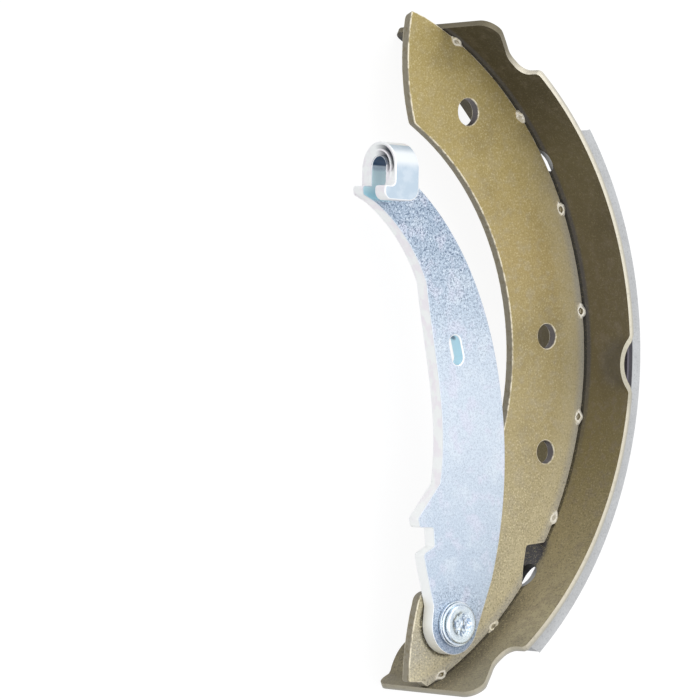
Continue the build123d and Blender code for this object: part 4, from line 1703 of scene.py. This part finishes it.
# The table's tones darken towards the top end, where its inner face turns away from the light: painted shade.
TABLE_COAT = FlakeCoat(
    name="zinc_flake_table",
    along=(
        (0.0, "#37311f"), (0.11, "#4a4330"), (0.2, "#665e45"), (0.35, "#685f47"), (0.5, "#695f44"),
        (0.65, "#7e734f"), (0.8, "#9b9070"), (0.88, "#b0a586"), (0.935, "#958c73"), (1.0, "#9a9178"),
    ),
    grey="#7f7567", shade="#453d2e", flake="#b0a585",
    cut=(
        (0.0, "#625a44"), (0.05, "#857d68"), (0.085, "#ece5d2"), (0.45, "#e6dfca"), (0.48, "#c6c0ac"),
        (0.55, "#c2bca8"), (0.58, "#dfd7c3"), (0.85, "#ddd5c0"), (1.0, "#a39c87"),
    ),
    edge="#ece2c8", bare="#f4f0e6", window_shadow="#1d1b18", tearing=0.15, contrast=0.22, sanded=0.8, metallic=0.2,
    roughness=0.55,
    # Painted shade: the web's shadow on the lower tab, shade along the web's joint, a dark line in the corner of that
    # joint, shade on the pad's slope, the web's shadow seen through its notch, and shade at the top tab's lower corner.
    bands=(
        Band((0.0, 0.0, WEB_TOP), ALONG_Z, 10.0, 1.5, "#474235", 0.7, (-52.0, -70.0), 95.2),
        Band((0.0, 0.0, 18.6), ALONG_Z, 4.3, 3.1, "#505055", 0.85, (-40.0, 10.0), 95.2),
        Band((0.0, 0.0, 20.2), ALONG_Z, 0.9, 0.4, "#1c1a16", 0.75, within=95.2),
        Band((94.0, 0.0, 33.0), ALL_AXES, 9.0, 4.0, "#5a5856", 0.5, within=95.2),
        Band((79.9, -51.3, 15.5), ALL_AXES, 7.5, 5.0, "#3f3f47", 0.95, within=95.2),
        Band((43.0, 84.6, 0.0), ALL_AXES, 2.4, 1.8, "#1b1a17", 0.9, within=95.2),
    ),
    cut_bands=(Band(ORIGIN, FROM_Z_AXIS, 95.5, 96.4, "#a9a69d", 0.75, (80.0, 70.0)),),
)
LINING_COMPOUND = PressedFriction(
    name="pressed_friction", body="#c4c5c5", dark="#9a9c9e", light="#d8dadb", window_wall_shadow="#1f1d21",
    # Painted shadow under the table's rim where the pad leaves a gap: near black on the lining's side, violet grey
    # nearer its inner face.
    bands=(
        Band(ORIGIN, FROM_Z_AXIS, 98.6, 98.3, "#2b272f", 0.95, beside=(-2.5, 9.5)),
        Band(ORIGIN, FROM_Z_AXIS, 97.3, 97.0, "#6f6a74", 0.8, beside=(-2.5, 9.5)),
    ),
)
LEVER_ZINC = SpangledZinc(
    name="spangled_zinc_lever",
    along=(
        (0.0, "#a9bbcf"), (0.2, "#c3d2e2"), (0.35, "#d3dfec"), (0.5, "#d6e1ed"), (0.8, "#c4d2e2"), (1.0, "#b8c8da"),
    ),
    light="#eaf2f9", lilac="#e0e0f0", dark="#50637f", ring="#7c8ea8", cut="#fcfefd", blush="#f8f4f8",
    edge="#fbfcfd", dim_edge_highlight="#dfe5ec", hook="#c3d4e2", bend_highlight="#f3f7f9",
    channel=((0.0, "#b4e6f2"), (1.0, "#e6fdff")), recess_shade="#36506e", slot_wall="#ccf0fd", tear="#3c434c",
    pivot=(*PIVOT, 24.0), slot=(43.95, 2.15, 24.0), hook_axis=(12.8, 48.2, 26.7), lip=39.3,
)
PIN_ZINC = BrightZinc(
    name="bright_zinc_pin", body="#cdd9e5", light="#f1f3f8", tint="#d9e5ea", dark="#7c8fa8", edge="#f6f8fa",
    struck=(*PIVOT, 0.0), struck_round=(3.6, 2.9),
)


def main() -> None:
    """Dress the shoe and set the studio."""
    logging.basicConfig(level=logging.INFO, format="%(name)s %(message)s")
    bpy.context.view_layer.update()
    TableShell().build(TABLE_COAT.build())
    WebPlate().build(WEB_COAT.build())
    FrictionLining().build(LINING_COMPOUND.build())
    ParkingLever().build(LEVER_ZINC.build())
    PivotPin().build(PIN_ZINC.build())
    Studio().build()


if __name__ == "__main__":
    main()
